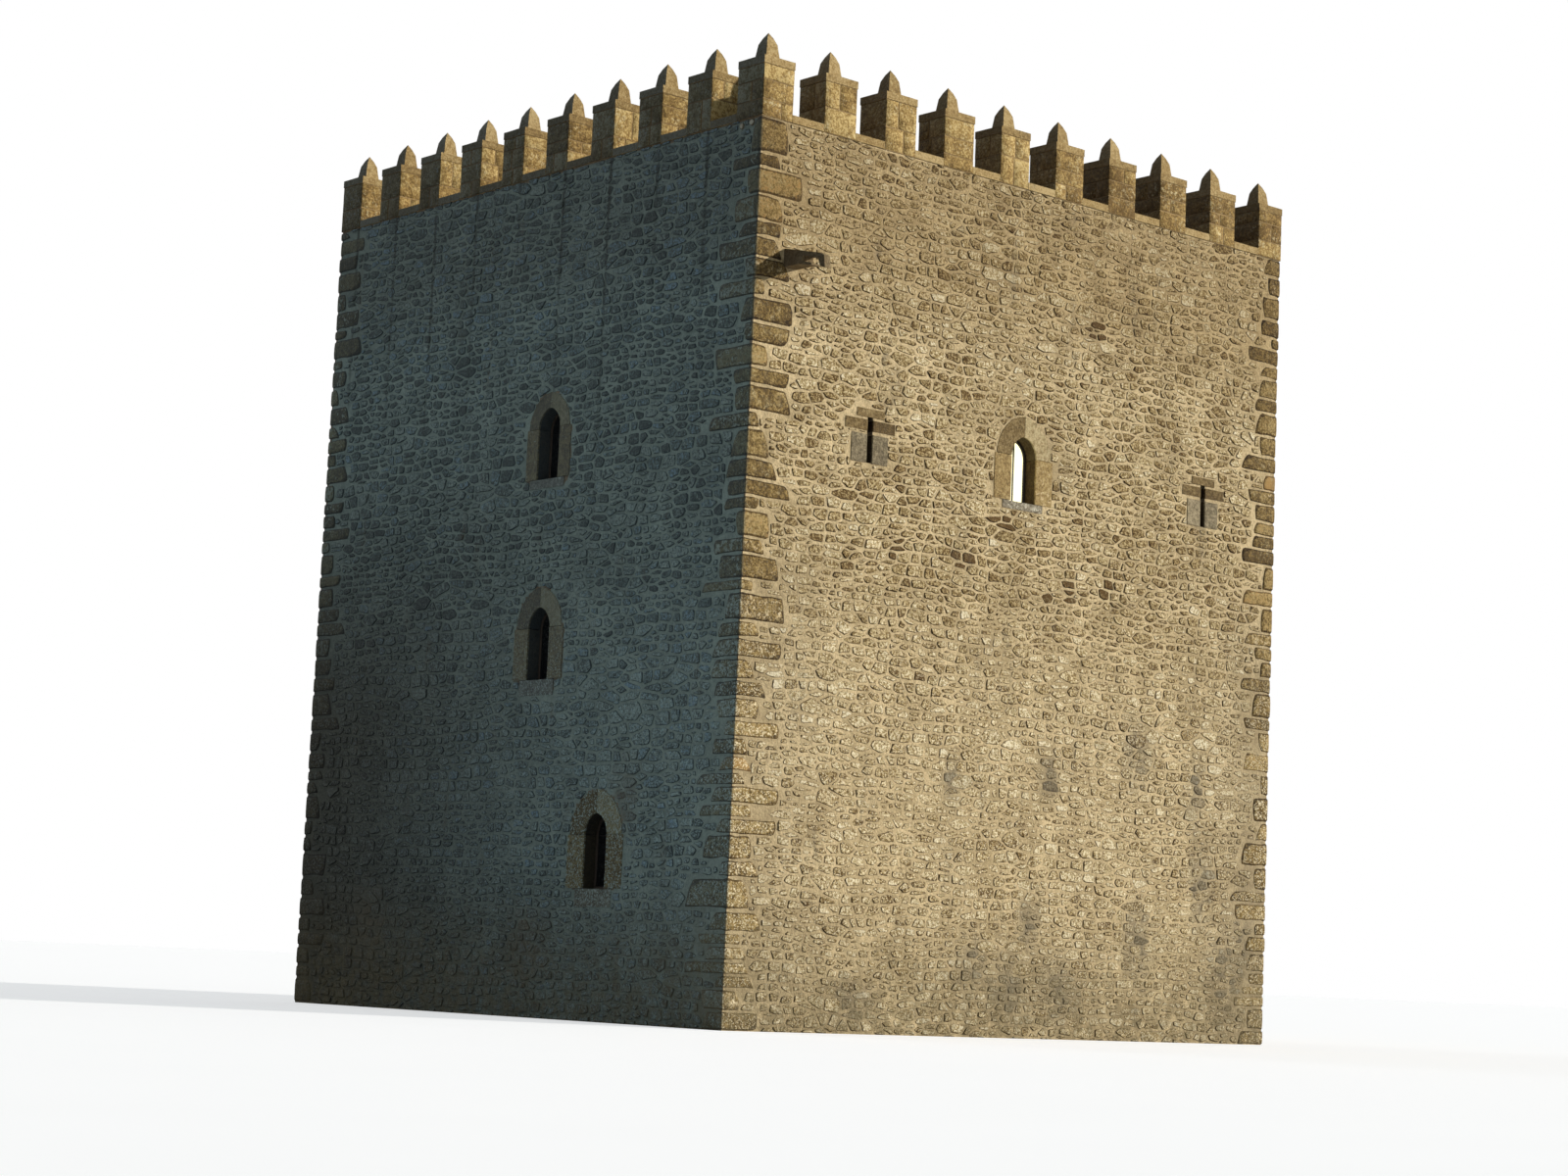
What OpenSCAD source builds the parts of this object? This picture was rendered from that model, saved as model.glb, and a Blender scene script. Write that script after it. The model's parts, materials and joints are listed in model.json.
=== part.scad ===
// Square medieval castle keep with a battlement of capped merlons.
// Millimetres. Z = 0 is the lowest ground, the plan centre is the origin,
// the sunlit front wall faces -Y and the shaded left wall faces -X.

/* [Tower] */
// Width of the front wall, over the merlon copings
keep_width = 12600; // [11600:100:14000]
// Depth of the side walls, over the merlon copings
keep_depth = 12100; // [11200:100:14000]
// How far the wall core lies behind the coping face, room for rough stone
stone_relief = 30; // [24:1:50]
// How far the dressed stones stand out of the wall core
dressed_relief = 16; // [6:1:20]

/* [Walls and floors] */
// Thickness of the walls on the ground storey
wall_thickness = 1800; // [1700:10:2100]
// Ledge by which each storey's wall is thinner, to carry a floor
wall_offset = 100; // [60:5:140]
// Thickness of the parapet, from the coping face to its inner face
parapet_thickness = 650; // [560:10:650]
// Top of the solid ground floor, above the lowest ground
ground_floor_level = 950; // [600:10:1200]
// Height from the ground floor to the first floor
ground_storey = 3550; // [3450:10:3900]
// Height from the first floor to the second floor
first_storey = 3400; // [3150:10:3800]
// Height from the second floor to the roof terrace
second_storey = 4280; // [3900:10:4700]
// Height from the roof terrace to the top of the crenel sills
parapet_height = 2220; // [1900:10:2400]
// Thickness of the timber floors
floor_thickness = 200; // [150:5:260]
// Thickness of the terrace slab
terrace_thickness = 250; // [200:5:320]

/* [Battlement] */
// Merlons along each side, both corner merlons counted
merlons_per_side = 10; // [8:1:11]
// Side of the square corner merlon
corner_merlon = 650; // [560:10:650]
// Width of a merlon on the front and back
front_merlon_width = 700; // [560:10:760]
// Width of a merlon on the left and right sides
side_merlon_width = 630; // [560:10:740]
// Height of a merlon above the crenel sill, without its cap
merlon_height = 850; // [700:10:1000]
// Height of the flat coping slab on a merlon
coping_height = 130; // [90:5:160]
// How far the coping slab stands out past the merlon
coping_overhang = 12; // [6:1:18]
// Height of the slab that forms a crenel sill
crenel_sill_height = 130; // [90:5:160]
// How far a crenel sill lies behind the coping face
crenel_sill_setback = 5; // [0:1:5]
// Height of the pointed cap
cap_height = 487; // [380:1:560]
// Side of the square foot of the cap
cap_width = 300; // [240:5:360]

/* [Lancet windows] */
// Clear width of a lancet
lancet_width = 580; // [480:10:620]
// Rise of the pointed arch from springing to apex
lancet_rise = 340; // [315:5:400]
// Height from sill to springing on the side walls
side_lancet_jamb = 870; // [700:10:1000]
// Height from sill to springing on the front and back
front_lancet_jamb = 770; // [650:10:900]
// Sill of the lowest lancet, above the ground floor
low_sill_rise = 1170; // [900:10:1300]
// Sill of the middle lancets, above the first floor
middle_sill_rise = 1070; // [900:10:1300]
// Sill of the upper side lancets, above the second floor
top_sill_rise = 1060; // [900:10:1400]
// Sill of the front and back lancets, above the second floor
front_sill_rise = 1010; // [900:10:1400]
// Centre of the lowest lancet, from the front corner
low_lancet_offset = 3390; // [3100:10:4400]
// Centre of the upper and middle side lancets, from the front corner
upper_lancet_offset = 5220; // [4600:10:6000]
// Centre of the front lancet, from the left corner
front_lancet_offset = 6100; // [5800:10:6800]
// Width of the arch stones of the lowest lancet
low_surround = 390; // [260:5:400]
// Width of the arch stones of the middle lancets
middle_surround = 340; // [260:5:400]
// Width of the arch stones of the upper side lancets
top_surround = 270; // [250:5:400]
// Width of the arch stones of the front and back lancets
front_surround = 350; // [260:5:400]
// Extra width of a jamb stone beyond the arch stone
jamb_extra = 50; // [20:5:80]
// Height of the sill stone of the lowest lancet
low_sill_stone = 300; // [150:5:340]
// Height of the sill stones of the middle lancets
middle_sill_stone = 270; // [150:5:320]
// Height of the sill stones of the upper side lancets
top_sill_stone = 160; // [120:5:260]
// Height of the sill stones of the front and back lancets
front_sill_stone = 140; // [120:5:260]
// Length of a sill stone
sill_stone_length = 950; // [800:10:1100]
// Depth of the dressed stones, from the wall core face
surround_depth = 240; // [200:5:300]
// Thickness of the window frame
frame_depth = 60; // [50:1:80]
// Width of the window frame that shows inside the opening
frame_reveal = 40; // [25:1:55]
// Width of the window frame hidden behind the stone
frame_hold = 50; // [30:1:60]
// Thickness of the glass
pane_thickness = 12; // [8:1:14]
// Thickness of the pale blind behind the front glass
blind_thickness = 16; // [10:1:18]
// Width of the splayed recess at the room side
recess_width = 1400; // [1100:10:1700]
// Height of the recess above the arch apex
recess_headroom = 90; // [80:5:150]

/* [Arrow slits] */
// Width of an arrow slit
slit_width = 120; // [90:5:150]
// Height of an arrow slit
slit_height = 770; // [740:10:860]
// Sill of the arrow slits, above the second floor
slit_sill_rise = 1150; // [950:10:1400]
// Centre of the first slit, from the corner
near_slit_offset = 2580; // [2450:10:3200]
// Centre of the second slit, from the same corner
far_slit_offset = 10630; // [9600:10:10640]
// Width of the upright stones beside a slit
slit_stone_width = 340; // [260:5:420]
// Height of the upright stones beside a slit
slit_stone_height = 470; // [380:5:480]
// Width of the flat stones beside the top of a slit
slit_shoulder_width = 480; // [360:5:560]
// Height of the flat stones beside the top of a slit
slit_shoulder_height = 180; // [130:5:190]
// Length of the stone over a slit
slit_lintel_length = 600; // [480:5:760]
// Height of the stone over a slit
slit_lintel_height = 140; // [110:5:200]
// Width of the slit's splay at the room side
slit_splay_width = 620; // [400:10:640]

/* [Doorway] */
// Clear width of the doorway
door_width = 1200; // [1000:10:1300]
// Height from threshold to springing
door_jamb_height = 1550; // [1400:10:1650]
// Rise of the doorway's pointed arch
door_rise = 750; // [680:10:800]
// Centre of the doorway, from the front corner
door_offset = 3390; // [3300:10:4400]
// Width of the arch and jamb stones
door_surround = 320; // [260:5:380]
// Depth of the doorway's dressed stones
door_depth = 350; // [300:5:420]
// Thickness of the door leaf
leaf_thickness = 80; // [60:1:100]
// How far the leaf reaches behind the stone
leaf_hold = 40; // [25:1:50]
// Height of the threshold stone
threshold_height = 160; // [120:5:220]
// Length of the threshold stone
threshold_length = 1900; // [1850:10:2300]

/* [Water spout] */
// Centre of the spout, from the left corner
spout_offset = 740; // [740:5:1400]
// Width of the spout block
spout_width = 280; // [220:2:300]
// Height of the spout block
spout_height = 300; // [260:2:320]
// Reach of the spout from the wall core
spout_reach = 900; // [700:10:1000]
// Width and height of the bore
spout_bore = 80; // [60:1:90]
// Width of the gully in the terrace
gully_width = 160; // [110:2:160]
// Length of the gully in the terrace
gully_length = 260; // [180:5:400]

/* [Hidden] */

$fn = 144;
slack = 1;
core_width = keep_width - 2 * stone_relief;
core_depth = keep_depth - 2 * stone_relief;
first_floor_level = ground_floor_level + ground_storey;
second_floor_level = first_floor_level + first_storey;
terrace_level = second_floor_level + second_storey;
sill_height = terrace_level + parapet_height;
low_lancet_sill = ground_floor_level + low_sill_rise;
middle_lancet_sill = first_floor_level + middle_sill_rise;
top_lancet_sill = second_floor_level + top_sill_rise;
front_lancet_sill = second_floor_level + front_sill_rise;
slit_sill = second_floor_level + slit_sill_rise;
wall_top = sill_height - crenel_sill_height;
thick_top = terrace_level - terrace_thickness;
first_ledge = first_floor_level - floor_thickness;
second_ledge = second_floor_level - floor_thickness;
first_thickness = wall_thickness - wall_offset;
second_thickness = wall_thickness - 2 * wall_offset;
parapet_core = parapet_thickness - stone_relief;
coping_top = sill_height + merlon_height;
coping_foot = coping_top - coping_height;
front_pitch = (keep_width - corner_merlon) / (merlons_per_side - 1);
side_pitch = (keep_depth - corner_merlon) / (merlons_per_side - 1);
last_merlon = merlons_per_side - 1;
lancet_radius = (lancet_rise * lancet_rise + lancet_width * lancet_width / 4) / lancet_width;
door_radius = (door_rise * door_rise + door_width * door_width / 4) / door_width;

walls_brown = [0.55, 0.50, 0.40];
dressed_brown = [0.60, 0.52, 0.36];
merlon_ochre = [0.66, 0.55, 0.33];
oak = [0.36, 0.26, 0.17];

// Frames that put a wall's own plan (along, inward, up) on each side.
module on_front() {
    translate([-keep_width / 2, -core_depth / 2, 0]) children();
}

module on_back() {
    translate([keep_width / 2, core_depth / 2, 0]) rotate([0, 0, 180]) children();
}

module on_left() {
    translate([-core_width / 2, keep_depth / 2, 0]) rotate([0, 0, -90]) children();
}

module on_right() {
    translate([core_width / 2, -keep_depth / 2, 0]) rotate([0, 0, 90]) children();
}

// Extrudes an upright outline inward, from one depth to another.
module inward(from, to) {
    translate([0, to, 0]) rotate([90, 0, 0]) linear_extrude(height = to - from) children();
}

// A block between two corners.
module block(low, high) {
    translate(low) cube([high[0] - low[0], high[1] - low[1], high[2] - low[2]]);
}

// Pointed arch over upright sides: centres stay, the radius grows.
module pointed_outline(width, radius, jamb, grow, foot) {
    half = width / 2 + grow;
    translate([-half, foot]) square([2 * half, jamb - foot]);
    pointed_head(width, radius, jamb, grow);
}

module pointed_head(width, radius, jamb, grow) {
    half = width / 2 + grow;
    shift = radius - width / 2;
    intersection() {
        translate([shift, jamb]) circle(r = radius + grow);
        translate([-shift, jamb]) circle(r = radius + grow);
        translate([-half, jamb]) square([2 * half, 2 * radius + 2 * grow]);
    }
}

// Stepped section of a wall, laid along the whole side.
module wall_mass(length, start) {
    points = [[0, 0], [wall_thickness, 0], [wall_thickness, first_ledge],
        [first_thickness, first_ledge], [first_thickness, second_ledge],
        [second_thickness, second_ledge], [second_thickness, thick_top], [0, thick_top]];
    translate([start, 0, 0]) rotate([90, 0, 90]) linear_extrude(height = length) polygon(points);
}

// A parapet, from the wall's thick top to the foot of the merlons.
module parapet_mass(length, start) {
    block([start, 0, thick_top], [start + length, parapet_core, wall_top]);
}

// The hole and recess behind a lancet, through the wall.
module lancet_void(jamb, surround, sill_stone, thickness) {
    side = surround + jamb_extra;
    inward(-slack, surround_depth) union() {
        pointed_head(lancet_width, lancet_radius, jamb, surround);
        translate([-lancet_width / 2 - side, 0]) square([lancet_width + 2 * side, jamb]);
        translate([-sill_stone_length / 2, -sill_stone]) square([sill_stone_length, sill_stone]);
    }
    inward(surround_depth - slack, surround_depth + frame_depth)
        pointed_outline(lancet_width, lancet_radius, jamb, frame_hold, 0);
    near = lancet_width / 2 + frame_hold;
    far = recess_width / 2;
    start = surround_depth + frame_depth;
    linear_extrude(height = jamb + lancet_rise + recess_headroom)
        polygon([[-near, start], [near, start], [far, thickness + slack], [-far, thickness + slack]]);
}

module lancet_arch_stone(jamb, surround, side) {
    inward(-dressed_relief, surround_depth) difference() {
        pointed_head(lancet_width, lancet_radius, jamb, surround);
        pointed_head(lancet_width, lancet_radius, jamb, 0);
        translate([side > 0 ? -keep_width : 0, jamb - slack]) square(keep_width);
    }
}

module lancet_jamb_pair(jamb, surround) {
    side = surround + jamb_extra;
    for (s = [-1, 1])
        translate([s * (lancet_width / 2 + side / 2) - side / 2, -dressed_relief, 0])
            cube([side, surround_depth + dressed_relief, jamb]);
}

module lancet_sill_stone(sill_stone) {
    translate([-sill_stone_length / 2, -dressed_relief, -sill_stone])
        cube([sill_stone_length, surround_depth + dressed_relief, sill_stone]);
}

module lancet_frame(jamb) {
    inward(surround_depth, surround_depth + frame_depth) difference() {
        pointed_outline(lancet_width, lancet_radius, jamb, frame_hold, 0);
        pointed_outline(lancet_width, lancet_radius, jamb, -frame_reveal, frame_reveal);
    }
}

// A sheet that fills the frame, from one depth behind the frame's face.
module lancet_sheet(jamb, from, thickness) {
    inward(surround_depth + from, surround_depth + from + thickness)
        pointed_outline(lancet_width, lancet_radius, jamb, -frame_reveal, frame_reveal);
}

// Places the children at each lancet: the list gives jamb, surround,
// sill stone and wall thickness through $lancet.
module at_front_lancet() {
    $lancet = [front_lancet_jamb, front_surround, front_sill_stone, second_thickness];
    translate([front_lancet_offset, 0, front_lancet_sill]) children();
}

module at_upper_lancets(along) {
    translate([along, 0, top_lancet_sill]) {
        $lancet = [side_lancet_jamb, top_surround, top_sill_stone, second_thickness];
        children();
    }
    translate([along, 0, middle_lancet_sill]) {
        $lancet = [side_lancet_jamb, middle_surround, middle_sill_stone, first_thickness];
        children();
    }
}

module at_low_lancet(along) {
    $lancet = [side_lancet_jamb, low_surround, low_sill_stone, wall_thickness];
    translate([along, 0, low_lancet_sill]) children();
}

module at_left_lancets() {
    at_upper_lancets(keep_depth - upper_lancet_offset) children();
    at_low_lancet(keep_depth - low_lancet_offset) children();
}

module at_every_lancet() {
    on_front() at_front_lancet() children();
    on_back() at_front_lancet() children();
    on_left() at_left_lancets() children();
    on_right() at_upper_lancets(upper_lancet_offset) children();
}

module lancet_hole() {
    lancet_void($lancet[0], $lancet[1], $lancet[2], $lancet[3]);
}

// Arrow slits.
module slit_void() {
    translate([-slit_width / 2, -slack, 0])
        cube([slit_width, surround_depth + 2 * slack, slit_height]);
    near = slit_width / 2;
    far = slit_splay_width / 2;
    linear_extrude(height = slit_height)
        polygon([[-near, surround_depth], [near, surround_depth],
            [far, second_thickness + slack], [-far, second_thickness + slack]]);
    for (number = [0:4]) slit_stone(number, slack);
}

// The five dressed stones round a slit, as [left, foot, width, height].
function slit_stones() = [
    [-slit_width / 2 - slit_stone_width, 25, slit_stone_width, slit_stone_height],
    [slit_width / 2, 25, slit_stone_width, slit_stone_height],
    [-slit_width / 2 - slit_shoulder_width, slit_height - 40 - slit_shoulder_height,
        slit_shoulder_width, slit_shoulder_height],
    [slit_width / 2, slit_height - 40 - slit_shoulder_height,
        slit_shoulder_width, slit_shoulder_height],
    [-slit_lintel_length / 2, slit_height, slit_lintel_length, slit_lintel_height]];

module slit_stone(number, out) {
    stone = slit_stones()[number];
    translate([stone[0], -out, stone[1]]) cube([stone[2], surround_depth + out, stone[3]]);
}

module at_slits() {
    translate([near_slit_offset, 0, slit_sill]) children();
    translate([far_slit_offset, 0, slit_sill]) children();
}

module at_every_slit() {
    on_front() at_slits() children();
    on_back() at_slits() children();
}

// Doorway.
module at_door() {
    on_right() translate([door_offset, 0, ground_floor_level]) children();
}

module door_void() {
    side = door_surround;
    inward(-slack, door_depth) union() {
        pointed_head(door_width, door_radius, door_jamb_height, side);
        translate([-door_width / 2 - side, 0]) square([door_width + 2 * side, door_jamb_height]);
        translate([-threshold_length / 2, -threshold_height])
            square([threshold_length, threshold_height]);
    }
    inward(door_depth - slack, door_depth + leaf_thickness)
        pointed_outline(door_width, door_radius, door_jamb_height, leaf_hold, 0);
    near = door_width / 2 + leaf_hold;
    start = door_depth + leaf_thickness;
    linear_extrude(height = door_jamb_height + door_rise + recess_headroom)
        polygon([[-near, start], [near, start], [near + 120, wall_thickness + slack],
            [-near - 120, wall_thickness + slack]]);
}

// Water spout: side outline cut by plan outline, with a bore to the mouth.
module spout_shape() {
    r = spout_reach / 900;
    h = spout_height / 300;
    w = spout_width / 280;
    side = [[parapet_core, 0], [parapet_core, spout_height], [0, spout_height],
        [-790 * r, 125 * h], [-870 * r, 85 * h], [-900 * r, -120 * h],
        [-800 * r, -95 * h], [-745 * r, 45 * h], [-430 * r, 135 * h],
        [-400 * r, 40 * h], [-600 * r, -5 * h], [-605 * r, -45 * h], [-360 * r, 0]];
    plan = [[spout_width / 2, parapet_core], [spout_width / 2, -100 * r],
        [120 * w, -400 * r], [75 * w, -800 * r], [60 * w, -900 * r],
        [-60 * w, -900 * r], [-75 * w, -800 * r], [-120 * w, -400 * r],
        [-spout_width / 2, -100 * r], [-spout_width / 2, parapet_core]];
    difference() {
        intersection() {
            translate([-spout_width, 0, 0]) rotate([90, 0, 90])
                linear_extrude(height = 2 * spout_width) polygon(side);
            translate([0, 0, -spout_height]) linear_extrude(height = 3 * spout_height) polygon(plan);
        }
        translate([-spout_bore / 2, -400 * r - slack, 45 * h])
            cube([spout_bore, parapet_core + 400 * r + 2 * slack, spout_bore]);
    }
}

module at_spout() {
    on_front() translate([spout_offset, 0, thick_top]) children();
}

// Walls.
module front_mass() {
    on_front() wall_mass(core_width, stone_relief);
}

module back_mass() {
    on_back() wall_mass(core_width, stone_relief);
}

module front_wall() {
    color(walls_brown) difference() {
        front_mass();
        on_front() at_front_lancet() lancet_hole();
        on_front() at_slits() slit_void();
    }
}

module back_wall() {
    color(walls_brown) difference() {
        back_mass();
        on_back() at_front_lancet() lancet_hole();
        on_back() at_slits() slit_void();
    }
}

module left_wall() {
    color(walls_brown) difference() {
        on_left() wall_mass(core_depth, stone_relief);
        front_mass();
        back_mass();
        on_left() at_left_lancets() lancet_hole();
    }
}

module right_wall() {
    color(walls_brown) difference() {
        on_right() wall_mass(core_depth, stone_relief);
        front_mass();
        back_mass();
        on_right() at_upper_lancets(upper_lancet_offset) lancet_hole();
        at_door() door_void();
    }
}

// Parapets.
module front_parapet_mass() {
    on_front() parapet_mass(core_width, stone_relief);
}

module back_parapet_mass() {
    on_back() parapet_mass(core_width, stone_relief);
}

module front_parapet() {
    color(walls_brown) difference() {
        front_parapet_mass();
        at_spout() block([-spout_width / 2, -slack, -slack],
            [spout_width / 2, parapet_core + slack, spout_height]);
    }
}

module back_parapet() {
    color(walls_brown) back_parapet_mass();
}

module left_parapet() {
    color(walls_brown) difference() {
        on_left() parapet_mass(core_depth, stone_relief);
        front_parapet_mass();
        back_parapet_mass();
    }
}

module right_parapet() {
    color(walls_brown) difference() {
        on_right() parapet_mass(core_depth, stone_relief);
        front_parapet_mass();
        back_parapet_mass();
    }
}

// Floors.
module floor_slab(thickness, top, height) {
    block([-core_width / 2 + thickness, -core_depth / 2 + thickness, top - height],
        [core_width / 2 - thickness, core_depth / 2 - thickness, top]);
}

module ground_floor() {
    color([0.48, 0.45, 0.40]) floor_slab(wall_thickness, ground_floor_level, ground_floor_level);
}

module first_floor() {
    color(oak) floor_slab(first_thickness, first_floor_level, floor_thickness);
}

module second_floor() {
    color(oak) floor_slab(second_thickness, second_floor_level, floor_thickness);
}

module terrace() {
    color([0.50, 0.48, 0.43]) difference() {
        floor_slab(parapet_core, terrace_level, terrace_thickness);
        at_spout() block([-gully_width / 2, parapet_core - slack, 40],
            [gully_width / 2, parapet_core + gully_length, terrace_thickness + slack]);
    }
}

module water_spout() {
    color([0.30, 0.32, 0.28]) at_spout() spout_shape();
}

// Battlement.
function merlon_span(number, width) = number == 0 || number == last_merlon ? corner_merlon : width;

module merlon_body(width) {
    inset = coping_overhang;
    block([-width / 2 + inset, inset, wall_top],
        [width / 2 - inset, parapet_thickness - inset, coping_foot]);
}

module coping_slab(width) {
    block([-width / 2, 0, coping_foot], [width / 2, parapet_thickness, coping_top]);
}

// Pointed cap with a shoulder: two equal outlines crossed.
module cap_outline() {
    polygon([[-0.5 * cap_width, 0], [0.5 * cap_width, 0], [0.37 * cap_width, 0.58 * cap_height],
        [0.21 * cap_width, 0.80 * cap_height], [0, cap_height],
        [-0.21 * cap_width, 0.80 * cap_height], [-0.37 * cap_width, 0.58 * cap_height]]);
}

module cap() {
    translate([0, parapet_thickness / 2, coping_top]) intersection() {
        translate([0, cap_width / 2, 0]) rotate([90, 0, 0])
            linear_extrude(height = cap_width) cap_outline();
        translate([-cap_width / 2, 0, 0]) rotate([90, 0, 90])
            linear_extrude(height = cap_width) cap_outline();
    }
}

module along_side(pitch, first, last) {
    translate([0, -stone_relief, 0])
        for (number = [first:last])
            translate([corner_merlon / 2 + number * pitch, 0, 0]) {
                $number = number;
                children();
            }
}

module crenel_sill(pitch, width) {
    left = merlon_span($number, width) / 2 - coping_overhang;
    right = pitch - merlon_span($number + 1, width) / 2 + coping_overhang;
    block([left, crenel_sill_setback, wall_top], [right, parapet_thickness, sill_height]);
}

module front_merlons() {
    color(merlon_ochre) on_front() along_side(front_pitch, 0, last_merlon)
        merlon_body(merlon_span($number, front_merlon_width));
}

module back_merlons() {
    color(merlon_ochre) on_back() along_side(front_pitch, 0, last_merlon)
        merlon_body(merlon_span($number, front_merlon_width));
}

module left_merlons() {
    color(merlon_ochre) on_left() along_side(side_pitch, 1, last_merlon - 1)
        merlon_body(side_merlon_width);
}

module right_merlons() {
    color(merlon_ochre) on_right() along_side(side_pitch, 1, last_merlon - 1)
        merlon_body(side_merlon_width);
}

module front_copings() {
    color(dressed_brown) on_front() along_side(front_pitch, 0, last_merlon)
        coping_slab(merlon_span($number, front_merlon_width));
}

module back_copings() {
    color(dressed_brown) on_back() along_side(front_pitch, 0, last_merlon)
        coping_slab(merlon_span($number, front_merlon_width));
}

module left_copings() {
    color(dressed_brown) on_left() along_side(side_pitch, 1, last_merlon - 1)
        coping_slab(side_merlon_width);
}

module right_copings() {
    color(dressed_brown) on_right() along_side(side_pitch, 1, last_merlon - 1)
        coping_slab(side_merlon_width);
}

module front_caps() {
    color(merlon_ochre) on_front() along_side(front_pitch, 0, last_merlon) cap();
}

module back_caps() {
    color(merlon_ochre) on_back() along_side(front_pitch, 0, last_merlon) cap();
}

module left_caps() {
    color(merlon_ochre) on_left() along_side(side_pitch, 1, last_merlon - 1) cap();
}

module right_caps() {
    color(merlon_ochre) on_right() along_side(side_pitch, 1, last_merlon - 1) cap();
}

module front_crenel_sills() {
    color(dressed_brown) on_front() along_side(front_pitch, 0, last_merlon - 1)
        crenel_sill(front_pitch, front_merlon_width);
}

module back_crenel_sills() {
    color(dressed_brown) on_back() along_side(front_pitch, 0, last_merlon - 1)
        crenel_sill(front_pitch, front_merlon_width);
}

module left_crenel_sills() {
    color(dressed_brown) on_left() along_side(side_pitch, 0, last_merlon - 1)
        crenel_sill(side_pitch, side_merlon_width);
}

module right_crenel_sills() {
    color(dressed_brown) on_right() along_side(side_pitch, 0, last_merlon - 1)
        crenel_sill(side_pitch, side_merlon_width);
}

// Lancet pieces.
module lancet_left_arch_stones() {
    color(dressed_brown) at_every_lancet() lancet_arch_stone($lancet[0], $lancet[1], -1);
}

module lancet_right_arch_stones() {
    color(merlon_ochre) at_every_lancet() lancet_arch_stone($lancet[0], $lancet[1], 1);
}

module lancet_jambs() {
    color(dressed_brown) at_every_lancet() lancet_jamb_pair($lancet[0], $lancet[1]);
}

module lancet_sills() {
    color(dressed_brown) at_every_lancet() lancet_sill_stone($lancet[2]);
}

module lancet_frames() {
    color([0.16, 0.12, 0.09]) at_every_lancet() lancet_frame($lancet[0]);
}

module lancet_panes() {
    color([0.12, 0.14, 0.16]) at_every_lancet() lancet_sheet($lancet[0], 12, pane_thickness);
}

module lancet_blind() {
    color([0.92, 0.90, 0.84]) on_front() at_front_lancet()
        lancet_sheet(front_lancet_jamb, 30, blind_thickness);
}

// Slit pieces.
module slit_side_stones() {
    color(dressed_brown) at_every_slit() for (number = [0:1]) slit_stone(number, dressed_relief);
}

module slit_shoulder_stones() {
    color(walls_brown) at_every_slit() for (number = [2:3]) slit_stone(number, dressed_relief);
}

module slit_lintels() {
    color(walls_brown) at_every_slit() slit_stone(4, dressed_relief);
}

// Doorway pieces.
module door_arch() {
    color(dressed_brown) at_door() inward(-dressed_relief, door_depth) difference() {
        pointed_head(door_width, door_radius, door_jamb_height, door_surround);
        pointed_head(door_width, door_radius, door_jamb_height, 0);
    }
}

module door_jambs() {
    color(dressed_brown) at_door() for (s = [-1, 1])
        translate([s * (door_width + door_surround) / 2 - door_surround / 2, -dressed_relief, 0])
            cube([door_surround, door_depth + dressed_relief, door_jamb_height]);
}

module door_threshold() {
    color(dressed_brown) at_door()
        translate([-threshold_length / 2, -dressed_relief, -threshold_height])
            cube([threshold_length, door_depth + dressed_relief, threshold_height]);
}

module door_leaf() {
    color(oak) at_door() inward(door_depth, door_depth + leaf_thickness)
        pointed_outline(door_width, door_radius, door_jamb_height, leaf_hold, 0);
}

front_wall();
back_wall();
left_wall();
right_wall();
front_parapet();
back_parapet();
left_parapet();
right_parapet();
ground_floor();
first_floor();
second_floor();
terrace();
water_spout();
front_merlons();
back_merlons();
left_merlons();
right_merlons();
front_copings();
back_copings();
left_copings();
right_copings();
front_caps();
back_caps();
left_caps();
right_caps();
front_crenel_sills();
back_crenel_sills();
left_crenel_sills();
right_crenel_sills();
lancet_left_arch_stones();
lancet_right_arch_stones();
lancet_jambs();
lancet_sills();
lancet_frames();
lancet_panes();
lancet_blind();
slit_side_stones();
slit_shoulder_stones();
slit_lintels();
door_arch();
door_jambs();
door_threshold();
door_leaf();
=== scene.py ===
"""Looks of a rubble-stone castle keep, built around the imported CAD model.

Metres, in the CAD frame: z = 0 is the lowest ground, the sunlit front wall faces -Y
and the shaded left wall faces -X. Every stone of the masonry is real geometry.
"""

import json
import math
import random

import bmesh
import bpy
from mathutils import Matrix, Vector, noise
from mathutils.geometry import convex_hull_2d


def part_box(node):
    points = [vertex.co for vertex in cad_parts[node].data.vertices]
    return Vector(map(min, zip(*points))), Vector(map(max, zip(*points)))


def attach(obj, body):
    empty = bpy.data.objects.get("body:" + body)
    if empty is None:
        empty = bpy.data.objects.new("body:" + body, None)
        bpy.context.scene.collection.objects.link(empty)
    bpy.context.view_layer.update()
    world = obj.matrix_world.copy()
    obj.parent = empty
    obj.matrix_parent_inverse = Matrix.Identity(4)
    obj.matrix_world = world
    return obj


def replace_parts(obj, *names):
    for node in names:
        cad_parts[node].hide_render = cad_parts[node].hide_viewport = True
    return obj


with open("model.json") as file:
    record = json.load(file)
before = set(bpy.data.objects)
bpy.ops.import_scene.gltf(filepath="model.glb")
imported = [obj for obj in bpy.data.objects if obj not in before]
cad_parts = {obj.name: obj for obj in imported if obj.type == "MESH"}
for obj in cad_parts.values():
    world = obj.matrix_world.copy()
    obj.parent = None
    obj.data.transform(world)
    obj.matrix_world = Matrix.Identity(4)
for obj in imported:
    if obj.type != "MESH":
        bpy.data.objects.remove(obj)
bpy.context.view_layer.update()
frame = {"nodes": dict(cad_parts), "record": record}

# Masonry sizes, in metres.
WALL_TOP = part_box("front_parapet")[1].z
TERRACE_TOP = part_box("terrace")[1].z
COURSE_RISE = (0.118, 0.252)        # height of a rough course of rubble
STONE_RUN = (0.10, 0.58)            # length of a rubble stone
CHIPS = 0.20                        # how often a small stone is wedged between two others
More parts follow.
